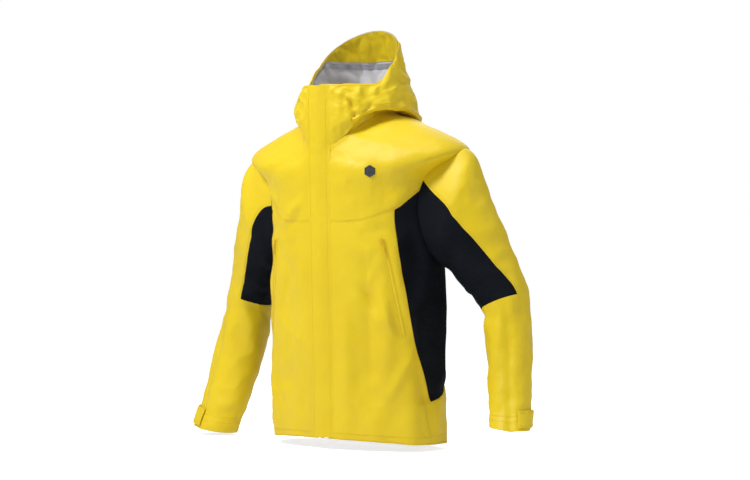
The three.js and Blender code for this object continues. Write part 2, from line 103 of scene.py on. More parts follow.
def hermite(start, leaving, end, arriving, f):
    """A curve from start to end with those slopes, read at f from 0 to 1."""
    return (
        start * (2 * f**3 - 3 * f * f + 1)
        + leaving * (f**3 - 2 * f * f + f)
        + end * (3 * f * f - 2 * f**3)
        + arriving * (f**3 - f * f)
    )


def smooth(values, t):
    """A smooth curve through evenly spaced values (numbers or rows), read at t."""
    values = np.asarray(values, float)
    t = np.asarray(t, float)
    last = len(values) - 1
    i = np.clip(np.floor(t).astype(int), 0, last - 1)
    slopes = np.gradient(values, axis=0)
    f = t - i
    if values.ndim > 1:
        f = f[..., None]
    return hermite(values[i], slopes[i], values[i + 1], slopes[i + 1], f)


def ease(low, high, x):
    """0 below low, 1 above high, smooth between."""
    t = np.clip((np.asarray(x, float) - low) / (high - low), 0, 1)
    return t * t * (3 - 2 * t)


def bump(x, middle, width):
    """A soft bump of height 1."""
    return np.exp(-(((x - middle) / width) ** 2))


def turn_apart(a, b):
    """Smallest turn from b to a, in degrees."""
    return (np.asarray(a) - b + 180) % 360 - 180


# ---------- the garment's skin ----------
# Each ring: half width, height at the front, then y and height at the side, y and height at the back.
RINGS = np.array([
    [220, 20, 2, 10, 128, 0],
    [221, 150, 2, 145, 127, 140],
    [222, 300, 3, 300, 124, 300],
    [224, 430, 4, 440, 124, 450],
    [231, 545, 10, 590, 128, 590],
    [289, 603, 12, 655, 122, 655],
    [153, 632, 10, 721, 112, 706],
    [96, 655, 4, 740, 92, 734],
    [126, 700, 0, 768, 126, 770],
    [115, 738, -6, 800, 112, 825],
    [111, 770, -14, 824, 92, 886],
    [107, 800, -6, 848, 72, 934],
], float)
NECK = 7
HOOD_BASE = 8
RIM = len(RINGS) - 1
FRONT_BACK_POWER = 0.94
# Radii that turn an angle into millimetres round the torso and round the head.
TORSO_RADIUS = 185
HEAD_RADIUS = 112


def fullness(v, front=True):
    """The power that shapes a ring in plan: below 1 is fuller than an ellipse, above 1 leaner."""
    return 0.92 + ease(HOOD_BASE + 1, RIM, v) * np.where(front, 0.4, 0.16)


def skin(angle, v):
    """Points of the skin on ring v, angle degrees round from the centre front to the wearer's left."""
    angle, v = np.broadcast_arrays(np.asarray(angle, float), np.asarray(v, float))
    half, fz, sy, sz, by, bz = np.moveaxis(smooth(RINGS, v), -1, 0)
    sin, cos = np.sin(np.radians(angle)), np.cos(np.radians(angle))
    x = half * np.sign(sin) * np.abs(sin) ** fullness(v, cos > 0)
    y = sy + (np.where(cos > 0, front_y(fz), by) - sy) * np.abs(cos) ** FRONT_BACK_POWER
    # The rim lies level across the front, then climbs steadily to the crown.
    rim_share = np.where(cos > 0, 1 - np.exp(-((np.abs(cos) / 0.19) ** 1.8)), np.abs(cos) ** 0.86)
    share = cos * cos + (rim_share - cos * cos) * ease(HOOD_BASE, RIM, v)
    z = sz + (np.where(cos > 0, fz, bz) - sz) * share
    return np.stack([x, y, z], -1)


def ring_at(angle, z):
    """The ring on which the skin reaches height z at that angle."""
    angle, z = np.broadcast_arrays(np.asarray(angle, float), np.asarray(z, float))
    low, high = np.zeros(z.shape), np.full(z.shape, float(RIM))
    for _ in range(24):
        middle = (low + high) / 2
        below = skin(angle, middle)[..., 2] < z
        low, high = np.where(below, middle, low), np.where(below, high, middle)
    return (low + high) / 2


def angle_at_x(x, v):
    """The angle in the front half at which ring v reaches x."""
    half = smooth(RINGS[:, 0], v)
    return np.degrees(np.arcsin(np.clip(np.abs(x) / half, 0, 1) ** (1 / fullness(v)))) * np.sign(x)


def skin_through(y, z):
    """Points of the left side of the skin with that y and height."""
    angle = np.full(np.shape(y), 90.0)
    for _ in range(10):
        v = ring_at(angle, z)
        _, fz, sy, _, by, _ = np.moveaxis(smooth(RINGS, v), -1, 0)
        end = np.where(y < sy, front_y(fz), by)
        share = np.clip((y - sy) / (end - sy), 0, 0.99) ** (1 / FRONT_BACK_POWER)
        angle = np.degrees(np.arccos(share * np.where(y < sy, 1, -1)))
    return skin(angle, ring_at(angle, z))


def on_skin(angle, v, lift=0.0):
    """Points lifted off the skin, and its outward unit normals."""
    def step(da, dv):
        return skin(angle + da, v + dv)
    n = np.cross(step(0.2, 0) - step(-0.2, 0), step(0, 0.01) - step(0, -0.01))
    n /= np.linalg.norm(n, axis=-1, keepdims=True)
    return skin(angle, v) + n * np.asarray(lift)[..., None], n


def line_through(pairs):
    """A smooth line through pairs, as arrays of its first and second values."""
    dense = smooth(np.array(pairs, float), np.linspace(0, len(pairs) - 1, 90))
    return dense[:, 0], dense[:, 1]


def normals_of(points, closed=False):
    """Outward unit normals of a grid [row, column]; closed where the columns run all the way round."""
    across = np.roll(points, -1, 1) - np.roll(points, 1, 1) if closed else np.gradient(points, axis=1)
    n = np.cross(across, np.gradient(points, axis=0))
    return n / np.maximum(np.linalg.norm(n, axis=-1, keepdims=True), 1e-9)


# ---------- materials ----------
class Look:
    """A principled material that is built up from procedural layers."""

    def __init__(self, name, roughness, sheen=0.0, metallic=0.0, specular=0.5):
        self.material = bpy.data.materials.new(name)
        self.material.use_nodes = True
        self.tree = self.material.node_tree
        self.shader = self.tree.nodes["Principled BSDF"]
        self.shader.inputs["Roughness"].default_value = roughness
        self.shader.inputs["Metallic"].default_value = metallic
        self.shader.inputs["Specular IOR Level"].default_value = specular
        self.shader.inputs["Sheen Weight"].default_value = sheen
        self.place = self.node("ShaderNodeTexCoord").outputs["Object"]
        self.height = None

    def node(self, kind, **values):
        made = self.tree.nodes.new(kind)
        for key, value in values.items():
            if key in made.inputs:
                made.inputs[key].default_value = value
            else:
                setattr(made, key, value)
        return made

    def noise(self, scale, detail):
        made = self.node("ShaderNodeTexNoise", Scale=scale, Detail=detail)
        self.tree.links.new(self.place, made.inputs["Vector"])
        return made.outputs["Fac"]

    def mottle(self, low, high, scale):
        """Colour that drifts between two tones."""
        ramp = self.node("ShaderNodeValToRGB")
        first, last = ramp.color_ramp.elements
        first.color, last.color = (*low, 1), (*high, 1)
        first.position, last.position = 0.3, 0.7
        self.tree.links.new(self.noise(scale, 6.0), ramp.inputs["Fac"])
        self.tree.links.new(ramp.outputs["Color"], self.shader.inputs["Base Color"])
        return self

    def worn(self, low, high, scale):
        """Roughness that varies from rubbed to fresh."""
        span = self.node("ShaderNodeMapRange")
        span.inputs["To Min"].default_value = low
        span.inputs["To Max"].default_value = high
        self.tree.links.new(self.noise(scale, 4.0), span.inputs["Value"])
        self.tree.links.new(span.outputs["Result"], self.shader.inputs["Roughness"])
        return self

    def relief(self, height, strength, distance):
        bump_node = self.node("ShaderNodeBump", Strength=strength, Distance=distance)
        self.tree.links.new(height, bump_node.inputs["Height"])
        if self.height:
            self.tree.links.new(self.height, bump_node.inputs["Normal"])
        self.height = bump_node.outputs["Normal"]
        self.tree.links.new(self.height, self.shader.inputs["Normal"])
        return self

    def crumple(self, scale, strength, distance):
        return self.relief(self.noise(scale, 5.0), strength, distance)

    def weave(self, pitch_mm, strength, turn=(0.0, 0.0, 0.0)):
        """Two crossing sets of threads."""
        mapping = self.node("ShaderNodeMapping")
        mapping.inputs["Rotation"].default_value = turn
        self.tree.links.new(self.place, mapping.inputs["Vector"])
        for axis in ("X", "Z"):
            # A wave texture of scale 1 repeats every pi / 10 metres.
            scale = math.pi / 10 / (pitch_mm * MM)
            wave = self.node("ShaderNodeTexWave", Scale=scale, Distortion=0.3)
            wave.bands_direction = axis
            self.tree.links.new(mapping.outputs["Vector"], wave.inputs["Vector"])
            self.relief(wave.outputs["Fac"], strength, pitch_mm * MM / 6)
        return self


LOOKS = {
    "shell": Look("shell_fabric", 0.5, sheen=0.04, specular=0.45)
    .mottle((0.76, 0.547, 0.002), (0.82, 0.61, 0.005), 7.0)
    .worn(0.42, 0.62, 30.0).weave(0.9, 0.10).crumple(9.0, 0.35, 0.02).crumple(34.0, 0.35, 0.004),
    "stretch": Look("stretch_fabric", 0.8, specular=0.08)
    .mottle((0.0035, 0.0048, 0.0075), (0.007, 0.009, 0.014), 14.0)
    .worn(0.7, 0.9, 40.0).weave(2.6, 0.6, (0.0, 0.6, 0.3)).crumple(30.0, 0.2, 0.004),
    "lining": Look("lining_fabric", 0.85, sheen=0.15)
    .mottle((0.74, 0.75, 0.83), (0.82, 0.83, 0.91), 20.0).worn(0.75, 0.95, 40.0).weave(1.4, 0.35),
    "tape": Look("seam_tape", 0.55).mottle((0.40, 0.41, 0.47), (0.47, 0.48, 0.54), 30.0)
    .worn(0.4, 0.6, 60.0).weave(1.0, 0.2),
    "thread": Look("thread", 0.65).mottle((0.70, 0.45, 0.012), (0.78, 0.52, 0.02), 300.0)
    .worn(0.5, 0.8, 300.0).weave(0.5, 0.3, (0.5, 0.2, 0.0)),
    "painted": Look("painted_metal", 0.4).mottle((0.70, 0.46, 0.004), (0.78, 0.52, 0.008), 200.0)
    .worn(0.3, 0.5, 250.0).crumple(500.0, 0.08, 0.0004),
    "dark": Look("dark_plastic", 0.45).mottle((0.018, 0.02, 0.024), (0.032, 0.034, 0.04), 60.0)
    .worn(0.3, 0.6, 90.0).weave(0.8, 0.2),
    "tapecloth": Look("zip_tape", 0.8).mottle((0.020, 0.022, 0.027), (0.034, 0.036, 0.042), 60.0)
    .worn(0.7, 0.9, 90.0).weave(0.7, 0.5),
    "metal": Look("satin_metal", 0.32, metallic=1.0).mottle((0.40, 0.41, 0.43), (0.52, 0.53, 0.55), 200.0)
    .worn(0.2, 0.45, 250.0).crumple(500.0, 0.08, 0.0004),
    "badge": Look("badge_rubber", 0.6).mottle((0.022, 0.026, 0.036), (0.036, 0.041, 0.055), 90.0)
    .worn(0.45, 0.7, 120.0).crumple(420.0, 0.15, 0.0004),
}


# ---------- meshes ----------
def new_object(name, points, faces, look, flat=(), inner=None):
    """A mesh object from garment millimetres. flat holds face numbers to leave flat-shaded;
    inner is (look, first face) for the faces that show the inside."""
    mesh = bpy.data.meshes.new(name)
    mesh.from_pydata(place(points).tolist(), [], [list(map(int, f)) for f in faces])
    mesh.materials.append(LOOKS[look].material)
    if inner:
        mesh.materials.append(LOOKS[inner[0]].material)
        for polygon in mesh.polygons[inner[1]:]:
            polygon.material_index = 1
    shading = np.ones(len(mesh.polygons), bool)
    shading[list(flat)] = False
    mesh.polygons.foreach_set("use_smooth", shading)
    obj = bpy.data.objects.new(name, mesh)
    bpy.context.scene.collection.objects.link(obj)
    return obj


def stand_in(obj, name, body=None):
    """Takes the place of the CAD node of that name, where there is one, and rides on a body."""
    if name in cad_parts:
        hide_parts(name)
    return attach(obj, body) if body else obj


def face_normals_at_vertices(points, faces):
    n = np.cross(points[faces[:, 2]] - points[faces[:, 0]], points[faces[:, 3]] - points[faces[:, 1]])
    total = np.zeros(points.shape)
    for corner in range(4):
        np.add.at(total, faces[:, corner], n)
    return total / np.maximum(np.linalg.norm(total, axis=1, keepdims=True), 1e-9)


def thin_panel(
    name, points, normals, cells, look, lining="lining", thick=1.2, groove=0.6, plain=None
):
    """A closed thin panel from chosen cells of a grid. Its edge dips by groove, so that a seam shows
    between neighbours; where plain is true the edge stays level and the shading runs on."""
    points, normals = points.reshape(-1, 3), normals.reshape(-1, 3)
    cells = np.asarray(cells).reshape(-1, 4)
    used, index = np.unique(cells, return_inverse=True)
    faces = index.reshape(cells.shape)
    pairs = np.concatenate([faces[:, [k, (k + 1) % 4]] for k in range(4)])
    keys = set(map(tuple, pairs.tolist()))
    border = sorted((a, b) for a, b in keys if (b, a) not in keys)
    on_border = np.zeros(len(used), bool)
    on_border[[a for a, _ in border]] = True
    level = on_border & plain.reshape(-1)[used] if plain is not None else np.zeros(len(used), bool)
    dip = (on_border & ~level) * groove
    n = normals[used]
    outer = points[used] - n * dip[:, None]
    inner = outer - n * (thick - dip * 0.5)[:, None]
    count, first = len(used), len(faces)
    shade = np.where(level[:, None], n, face_normals_at_vertices(outer, faces))
    walls = [(b, a, a + count, b + count) for a, b in border]
    turned = faces[:, [0, 3, 2, 1]]  # reversed, but still split along the same diagonal
    inside = turned + count
    everything = faces.tolist() + walls + inside.tolist()
    obj = new_object(name, np.concatenate([outer, inner]), everything, look,
                     range(first, first + len(walls)), (lining, first + len(walls)))
    loops = np.zeros((len(obj.data.loops), 3))
    loops[:first * 4] = shade[faces.reshape(-1)]
    loops[-first * 4:] = -shade[turned.reshape(-1)]
    obj.data.normals_split_custom_set(loops.tolist())
    return obj


def grid_cells(rows, columns, closed=False):
    """Vertex numbers of each cell of a grid, as [row, column, corner]."""
    r = np.arange(rows - 1)[:, None]
    c = np.arange(columns if closed else columns - 1)[None, :]
    right = (c + 1) % columns
    near, far = r * columns, (r + 1) * columns
    return np.stack([near + c, near + right, far + right, far + c], -1)


def search_tree(points, cells):
    """A tree for finding places on a grid's surface."""
    return BVHTree.FromPolygons(points.reshape(-1, 3).tolist(), cells.reshape(-1, 4).tolist())


def strip_on_skin(name, angle, ring, lift, look, **options):
    """A thin strip over a grid of angles and rings of the skin."""
    points, normals = on_skin(angle, ring, lift)
    return thin_panel(name, points, normals, grid_cells(*np.shape(angle)), look, **options)


def softened(grid, passes, closed=False):
    """A grid of vectors with each one drawn towards its neighbours."""
    for _ in range(passes):
        padded = np.pad(grid, ((1, 1), (0, 0), (0, 0)), "edge")
        padded = np.pad(padded, ((0, 0), (1, 1), (0, 0)), "wrap" if closed else "edge")
        around = padded[:-2, 1:-1] + padded[2:, 1:-1] + padded[1:-1, :-2] + padded[1:-1, 2:]
        grid = grid * 0.5 + around * 0.125
    return grid


SETTLE_FRAMES = 24


def settle(name, points, cells, pins, growth, reach=9.0, closed=False):
    """Lets a grid of cloth, cut slightly too large and held by its pins, settle under its own weight."""
    mesh = bpy.data.meshes.new(name)
    mesh.from_pydata(place(points.reshape(-1, 3)).tolist(), [], cells.reshape(-1, 4).tolist())
    obj = bpy.data.objects.new(name, mesh)
    bpy.context.scene.collection.objects.link(obj)
    group = obj.vertex_groups.new(name="pins")
    levels = np.round(pins.ravel() * 30) / 30
    for level in np.unique(levels[levels > 0]):
        group.add(np.nonzero(levels == level)[0].tolist(), float(level), "REPLACE")
    modifier = obj.modifiers.new("cloth", "CLOTH")
    cloth = modifier.settings
    cloth.quality = 5
    cloth.mass = 0.12
    cloth.tension_stiffness = 18
    cloth.compression_stiffness = 18
    cloth.shear_stiffness = 6
    cloth.bending_stiffness = 0.9
    cloth.air_damping = 4
    cloth.shrink_min = -growth
    cloth.vertex_group_mass = "pins"
    modifier.point_cache.frame_end = SETTLE_FRAMES + 2
    modifier.collision_settings.use_collision = False
    scene = bpy.context.scene
    for number in range(1, SETTLE_FRAMES + 1):
        scene.frame_set(number)
    settled = obj.evaluated_get(bpy.context.evaluated_depsgraph_get()).data
    flat = np.zeros(len(settled.vertices) * 3)
    settled.vertices.foreach_get("co", flat)
    bpy.data.objects.remove(obj)
    bpy.data.meshes.remove(mesh)
    scene.frame_set(1)
    moved = mm_of(flat.reshape(-1, 3)) - points.reshape(-1, 3)
    length = np.linalg.norm(moved, axis=1, keepdims=True)
    moved = (moved * np.minimum(1, reach / np.maximum(length, 1e-6))).reshape(points.shape)
    return points + softened(moved, 6, closed)


def crinkle(points, size, height):
    """Crisp, random creases of stiff coated cloth, about size apart, of both signs."""
    flat = points.reshape(-1, 3) / size
    values = [noise.noise(Vector(p)) for p in flat]
    return (0.4 - 2 * np.abs(np.reshape(values, points.shape[:-1]))) * height


def folds(x, y, ridges):
    """Height of soft folds at x, y: each ridge is x0, y0, x1, y1, width, height."""
    total = np.zeros(np.broadcast(x, y).shape)
    for x0, y0, x1, y1, width, height in ridges:
        dx, dy = x1 - x0, y1 - y0
        t = np.clip(((x - x0) * dx + (y - y0) * dy) / (dx * dx + dy * dy), 0, 1)
        away = np.hypot(x - x0 - t * dx, y - y0 - t * dy)
        total += height * np.sin(np.pi * (t * 0.9 + 0.05)) ** 0.6 * np.exp(-((away / width) ** 1.5))
    return total


def spread(counts, edges):
    """Positions between numbered lines: counts[k] steps from line k to k + 1, the outer steps as narrow
    as a seam."""
    parts = []
    for k, (count, edge) in enumerate(zip(counts, edges)):
        inside = np.linspace(edge, 1 - edge, count - 1)
        parts.append(k + np.concatenate([[0], inside]))
    return np.concatenate([*parts, [len(counts)]])


def between(lines, t):
    """The value part-way between neighbouring lines of a stack, t counting lines."""
    stack = np.stack([np.broadcast_to(line, t.shape) for line in lines])
    i = np.clip(np.floor(t).astype(int), 0, len(lines) - 2)
    low = np.take_along_axis(stack, i[None], 0)[0]
    high = np.take_along_axis(stack, i[None] + 1, 0)[0]
    return low + (high - low) * (t - i)


STITCH_PITCH, STITCH_LENGTH, STITCH_RADIUS = 4.2, 3.1, 0.42
STITCH_RISE = [-0.1, 0.35, 0.35, -0.1]
STITCH_GIRTH = [0.55, 1, 1, 0.55]


def run_of_stitches(name, lines, body=None):
    """Short raised stitches along lines of (points, normals)."""
    points, faces = [], []
    for line, normals in lines:
        steps = np.linalg.norm(np.diff(line, axis=0), axis=1)
        along = np.concatenate([[0], np.cumsum(steps)])
        for start in np.arange(STITCH_PITCH, along[-1] - STITCH_PITCH, STITCH_PITCH):
            at = start + STITCH_LENGTH * np.array([0, 0.25, 0.75, 1])
            p = np.stack([np.interp(at, along, line[:, k]) for k in range(3)], 1)
            n = np.stack([np.interp(at, along, normals[:, k]) for k in range(3)], 1)
            forward = p[-1] - p[0]
            side = np.cross(forward / np.linalg.norm(forward), n)
            base = len(points)
            for k in range(4):
                centre = p[k] + n[k] * STITCH_RISE[k]
                wide = STITCH_RADIUS * STITCH_GIRTH[k]
                points += [centre + way * wide for way in (side[k], n[k], -side[k], -n[k])]
            for k in range(3):
                a, b = base + 4 * k, base + 4 * k + 4
                faces += [(a + j, a + (j + 1) % 4, b + (j + 1) % 4, b + j) for j in range(4)]
            faces += [(base, base + 3, base + 2, base + 1), tuple(base + 12 + j for j in range(4))]
    return stand_in(new_object(name, np.array(points), faces, "thread"), name, body)


# ---------- torso ----------
# The yoke's seam and the side panel's foot, as angle and height; its long edges, as height and angle.
YOKE_SEAM = line_through([
    (0, 493), (25, 497), (49.5, 524), (60, 546), (72, 572), (82, 592), (100, 592), (126, 545), (150, 540),
    (180, 540),
])
SIDE_FOOT = line_through([(0, 92), (70, 100), (86, 104), (100, 117), (113, 126), (135, 140), (180, 150)])
SIDE_FRONT = line_through([
    (12, 91), (60, 88), (104, 86), (221, 68), (352, 58), (470, 50.8), (524, 49.5), (600, 52), (680, 60),
    (760, 62),
])
SIDE_BACK = line_through([
    (12, 113), (125, 113), (220, 117), (350, 123), (540, 127), (700, 130), (760, 132),
])
ZIP_HALF = 15
# Grid steps between the seams, and how narrow the steps beside a seam are. The front yoke runs on
# over the shoulder, with no seam on the ridge, to OVER_SHOULDER columns before the side panel's edge.
ROW_STEPS, ROW_EDGES = [14, 56, 36], [0.03, 0.007, 0.014]
SIDE_STEPS, SIDE_EDGES = [34, 24, 24], [0.013, 0.016, 0.016]
OVER_SHOULDER = 14
ARMHOLE_DIP = 16  # how far the cloth inside the armhole's edge sinks, where the sleeve's cloth takes over
# How firmly the torso's cloth is held while it settles: everywhere, along the hem and along the pockets.
TORSO_HOLD, HEM_HOLD, POCKET_HOLD = 0.16, 0.8, 0.9
ARMHOLE = {"y": 16, "z": 532, "depth": 66, "height": 123}

# Angle and height of each pocket zip's ends.
POCKET_TOP, POCKET_BOTTOM = (40, 462), (55.5, 246)
FOLD_DEPTH = 2.3
# Soft folds: distance round from the centre front (or back) and height, at both ends.
FRONT_FOLDS = {
    "left": [
        (182, 551, 140, 527, 8, 3.0), (84, 352, 118, 306, 9, -3.2), (118, 306, 160, 245, 9, -3.6),
        (119, 358, 155, 249, 9, 3.2), (218, 197, 270, 42, 16, -3.0), (50, 306, 55, 63, 14, 2.6),
        (92, 440, 104, 150, 13, -2.0), (214, 222, 128, 96, 13, 2.8), (118, 300, 160, 262, 8, 2.6),
        (70, 120, 122, 20, 14, 2.4), (240, 110, 262, 14, 10, 3.0), (214, 330, 228, 200, 8, 2.2),
        (60, 640, 150, 560, 18, -1.4), (110, 700, 200, 612, 16, 1.8), (150, 600, 226, 560, 10, 2.2),
    ],
    "right": [
        (14, 553, 95, 493, 11, 4.4), (24, 533, 70, 492, 9, -2.4),
        (189, 555, 123, 524, 9, -3.4), (180, 570, 120, 540, 9, 3.4), (76, 411, 134, 255, 13, -3.0),
        (134, 255, 119, 53, 15, -2.6), (42, 303, 37, 81, 10, -2.6), (81, 256, 24, 222, 8, 2.4),
        (204, 206, 118, 60, 16, 2.6), (150, 120, 190, 10, 14, 2.4), (60, 640, 150, 560, 18, -1.6),
    ],
}
BACK_FOLDS = [
    (-92, 530, -60, 110, 24, 3.4), (84, 530, 66, 90, 24, 3.4), (0, 480, 12, 40, 22, -3.0),
    (-150, 440, -118, 60, 16, -2.8), (164, 440, 122, 40, 16, 2.8), (-60, 640, 60, 630, 14, -1.8),
    (-190, 640, -110, 560, 16, 2.6), (190, 640, 110, 560, 16, 2.6), (-30, 300, 34, 120, 13, 2.0),
]


def torso_grid():
    """Angles and rings of the torso's grid, from hem to neck; its lines follow the seams."""
    steps_up, steps_round = spread(ROW_STEPS, ROW_EDGES), spread(SIDE_STEPS, SIDE_EDGES)
    t_row, t_col = np.meshgrid(steps_up, steps_round, indexing="ij")
    ring, angle = t_row / len(ROW_STEPS) * NECK, t_col * 60.0
    for _ in range(7):
        height = skin(angle, ring)[..., 2]
        long_edges = [np.interp(height, *line) for line in (SIDE_FRONT, SIDE_BACK)]
        angle = between([angle_at_x(ZIP_HALF, ring), *long_edges, 180.0], t_col)
        foot = ring_at(angle, np.interp(angle, *SIDE_FOOT))
        yoke = ring_at(angle, np.interp(angle, *YOKE_SEAM))
        ring = between([0.0, foot, yoke, float(NECK)], t_row)
    return np.concatenate([angle, -angle[:, -2::-1]], 1), np.concatenate([ring, ring[:, -2::-1]], 1)


def armhole_distance(points):
    """1 on the armhole's seam, less inside it, more outside."""
    near = np.hypot((points[..., 1] - ARMHOLE["y"]) / ARMHOLE["depth"],
                    (points[..., 2] - ARMHOLE["z"]) / ARMHOLE["height"])
    return np.where(np.abs(points[..., 0]) > 150, near, 9)


def pocket_distance(angle, height):
    """Millimetres from the nearer pocket's zip, which lies flat so that its slider runs free."""
    t = np.clip((POCKET_TOP[1] - height) / (POCKET_TOP[1] - POCKET_BOTTOM[1]), 0, 1)
    zip_angle = POCKET_TOP[0] + (POCKET_BOTTOM[0] - POCKET_TOP[0]) * t
    zip_height = POCKET_TOP[1] + (POCKET_BOTTOM[1] - POCKET_TOP[1]) * t
    return np.hypot(np.radians(np.abs(angle) - zip_angle) * TORSO_RADIUS, height - zip_height)


def torso_relief(angle, points):
    """How far the cloth stands off the plain skin."""
    height = points[..., 2]
    round_front = np.radians(np.abs(angle)) * TORSO_RADIUS
    round_back = np.radians((angle % 360) - 180) * TORSO_RADIUS
    relief = np.where(angle >= 0, folds(round_front, height, FRONT_FOLDS["left"]),
                      folds(round_front, height, FRONT_FOLDS["right"]))
    relief = relief + folds(round_back, height, BACK_FOLDS)
    turn = np.radians(angle)
    drape = np.sin(turn * 7 + height / 170) + 0.6 * np.sin(turn * 13 - height / 120)
    relief += 1.7 * drape * (1 - ease(330, 520, height))
    relief += crinkle(points, 62.0, 0.8) - 5 * bump(np.abs(angle), 70, 13) * bump(height, 430, 70)
    relief *= ease(5, 24, pocket_distance(angle, height))
    return FOLD_DEPTH * relief * ease(7, 18, np.abs(angle)) * ease(1.0, 1.35, armhole_distance(points))


class Torso:
    """The settled torso: its grid, and a way to lay other things on it."""

    def __init__(self):
        self.angle, self.ring = torso_grid()
        points = skin(self.angle, self.ring)
        points = points + normals_of(points) * torso_relief(self.angle, points)[..., None]
        near = armhole_distance(points)
        height = points[..., 2]
        pins = TORSO_HOLD + 0.4 * ease(500, 640, height)
        pins = np.maximum(pins, 1 - ease(9, 20, np.abs(self.angle)))
        pins = np.maximum(pins, 1 - ease(1.05, 1.3, near))
        by_pocket = 1 - ease(6, 16, pocket_distance(self.angle, height))
        pins = np.maximum(pins, POCKET_HOLD * by_pocket)
        pins[-1] = 1
        pins[:ROW_STEPS[0]] = np.maximum(pins[:ROW_STEPS[0]], HEM_HOLD)
        self.cells = grid_cells(*self.angle.shape)
        self.points = settle("torso_cloth", points, self.cells, pins, 0.018)
        self.normals = softened(normals_of(self.points), 3)
        self.tree = search_tree(self.points, self.cells)
        self.inside = ease(0.0, 0.3, 1 - near)

    def under(self, angle, ring, lift):
        """Points lifted off the settled cloth above places on the skin, with normals."""
        angle, ring = np.broadcast_arrays(np.asarray(angle, float), np.asarray(ring, float))
        start, n = on_skin(angle, ring)
        points = start.copy()
        normals = n.copy()
        for k in np.ndindex(angle.shape):
            hit, hit_normal, _, _ = self.tree.ray_cast(Vector(start[k] + n[k] * 30), Vector(-n[k]), 60)
            if hit:
                points[k] = hit
                normals[k] = hit_normal if hit_normal.dot(Vector(n[k])) > 0 else -hit_normal
        normals = normals + n
        normals /= np.linalg.norm(normals, axis=-1, keepdims=True)
        return points + normals * np.broadcast_to(lift, angle.shape)[..., None], normals


def build_torso(torso):
    """The body's panels and yokes, cut from the torso's grid, less the armholes."""
    points = torso.points - torso.normals * (torso.inside * ARMHOLE_DIP)[..., None]
    normals, cells, angle = torso.normals, torso.cells, torso.angle
    keep = torso.inside.reshape(-1)[cells].min(-1) < 0.98
    foot, yoke = ROW_STEPS[0], ROW_STEPS[0] + ROW_STEPS[1]
    front, side = SIDE_STEPS[0], SIDE_STEPS[0] + SIDE_STEPS[1]
    columns = angle.shape[1] - 1
    over = side - OVER_SHOULDER

    def region(rows, low, high, mirrored):
        chosen = slice(columns - high, columns - low) if mirrored else slice(low, high)
        return cells[rows, chosen][keep[rows, chosen]]

    def make(name, picked, look, body=None, plain=None, lining="lining"):
        obj = thin_panel(name, points, normals, picked.reshape(-1, 4), look, lining, plain=plain)
        return stand_in(obj, name, body)

    below, above, strip = slice(foot, yoke), slice(yoke, None), slice(0, foot)
    plain = np.zeros(angle.shape, bool)
    for column in (over, columns - over, side, columns - side):
        plain[yoke + 1:, column] = True
    for name, k in SIDES.items():
        far = k < 0
        make(f"front_panel_{name}", region(slice(0, yoke), 0, front, far), "shell", "shell")
        make(f"side_panel_{name}", region(below, front, side, far), "stretch", "shell")
        for piece, low, high in (("front_yoke", 0, over), ("shoulder_back", over, side)):
            picked = region(above, low, high, far)
            bend_shoulder(make(f"{piece}_{name}", picked, "shell", None, plain, "shell"), name)
    back = [
        cells[:yoke, side:columns - side], cells[strip, front:side],
        cells[strip, columns - side:columns - front],
    ]
    make("back_panel", np.concatenate([part.reshape(-1, 4) for part in back]), "shell", "shell")
    make("back_yoke", cells[above, side:columns - side], "shell", "shell", plain)
    build_torso_stitches(torso, foot, yoke, front, side, columns)
    build_hem_facing(points, normals)


def build_torso_stitches(torso, foot, yoke, front, side, columns):
    """Stitches along the hem, the yoke and the front edges of the side panels."""
    lifted = torso.points + torso.normals * 0.2
    over = side - OVER_SHOULDER
    spans = [slice(0, over), slice(columns - over, None), slice(side, columns - side)]
    runs = [1, 3, *((yoke + 1, span) for span in spans)]
    runs += [(slice(foot, yoke), column) for column in (front - 1, columns - front + 1)]
    run_of_stitches("torso_stitches", [(lifted[run], torso.normals[run]) for run in runs], "shell")


def build_hem_facing(points, normals):
    """A strip of shell cloth turned up inside the hem."""
    rows = 8
    inner = points[:rows] - normals[:rows] * 2.6
    cells = grid_cells(rows, points.shape[1])
    obj = thin_panel("hem_facing", inner, normals[:rows], cells, "shell", "shell", 1.0, 0.1)
    stand_in(obj, "hem_facing", "shell")


def bend_between(obj):
    """Bakes the object's placement into its mesh."""
    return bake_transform(obj)


def bend_shoulder(obj, side):
    """Cloth over the shoulder: bakes its placement into its mesh."""
    bend_between(obj)


def bend_elbow(obj, side):
    """Cloth at the elbow: bakes its placement into its mesh."""
    bend_between(obj)


# ---------- sleeves ----------
# Each ring after the armhole: outer x and z, inner x and z, the middle's y and the half depth.
ARM = [
    [331, 598, 244, 398, 8, 60],
    [357, 520, 258, 381, 25, 60],
    [388, 430, 285, 347, 42, 57],
    [416, 345, 314, 305, 56, 54],
]
LOWER_ARM = {
    "left": [[432, 235, 334, 217, 46, 50], [447, 142, 352, 130, 24, 46], [466, 54, 376, 60, -6, 43]],
    "right": [[450, 222, 323, 206, 45, 52], [466, 116, 346, 98, 22, 48], [483, 18, 371, 2, -2, 45]],
}
# Front edge of the underarm gusset, from the armhole (s = 0) to the elbow (s = 4).
GUSSET_FRONT = {
    "left": line_through([(0, 64), (0.5, 74), (1, 79), (1.5, 74.5), (2, 68.5), (3, 50.5), (4, 24)]),
    "right": line_through([(0, 88), (0.3, 87), (0.7, 100), (1, 107), (1.6, 105), (2.5, 103.5), (4, 104)]),
}
GUSSET_BACK, GUSSET_NARROWS = 284, 42
TAB_START = {"left": 38, "right": 78}
ELBOW = len(ARM)
CUFF = ELBOW + 3
ARM_COLUMNS, ARM_COLUMN_EDGES = [44, 34], [0.015, 0.018]
ARM_ROWS, ARM_ROW_EDGES = [16, 42, 46], [0.03, 0.012, 0.01]


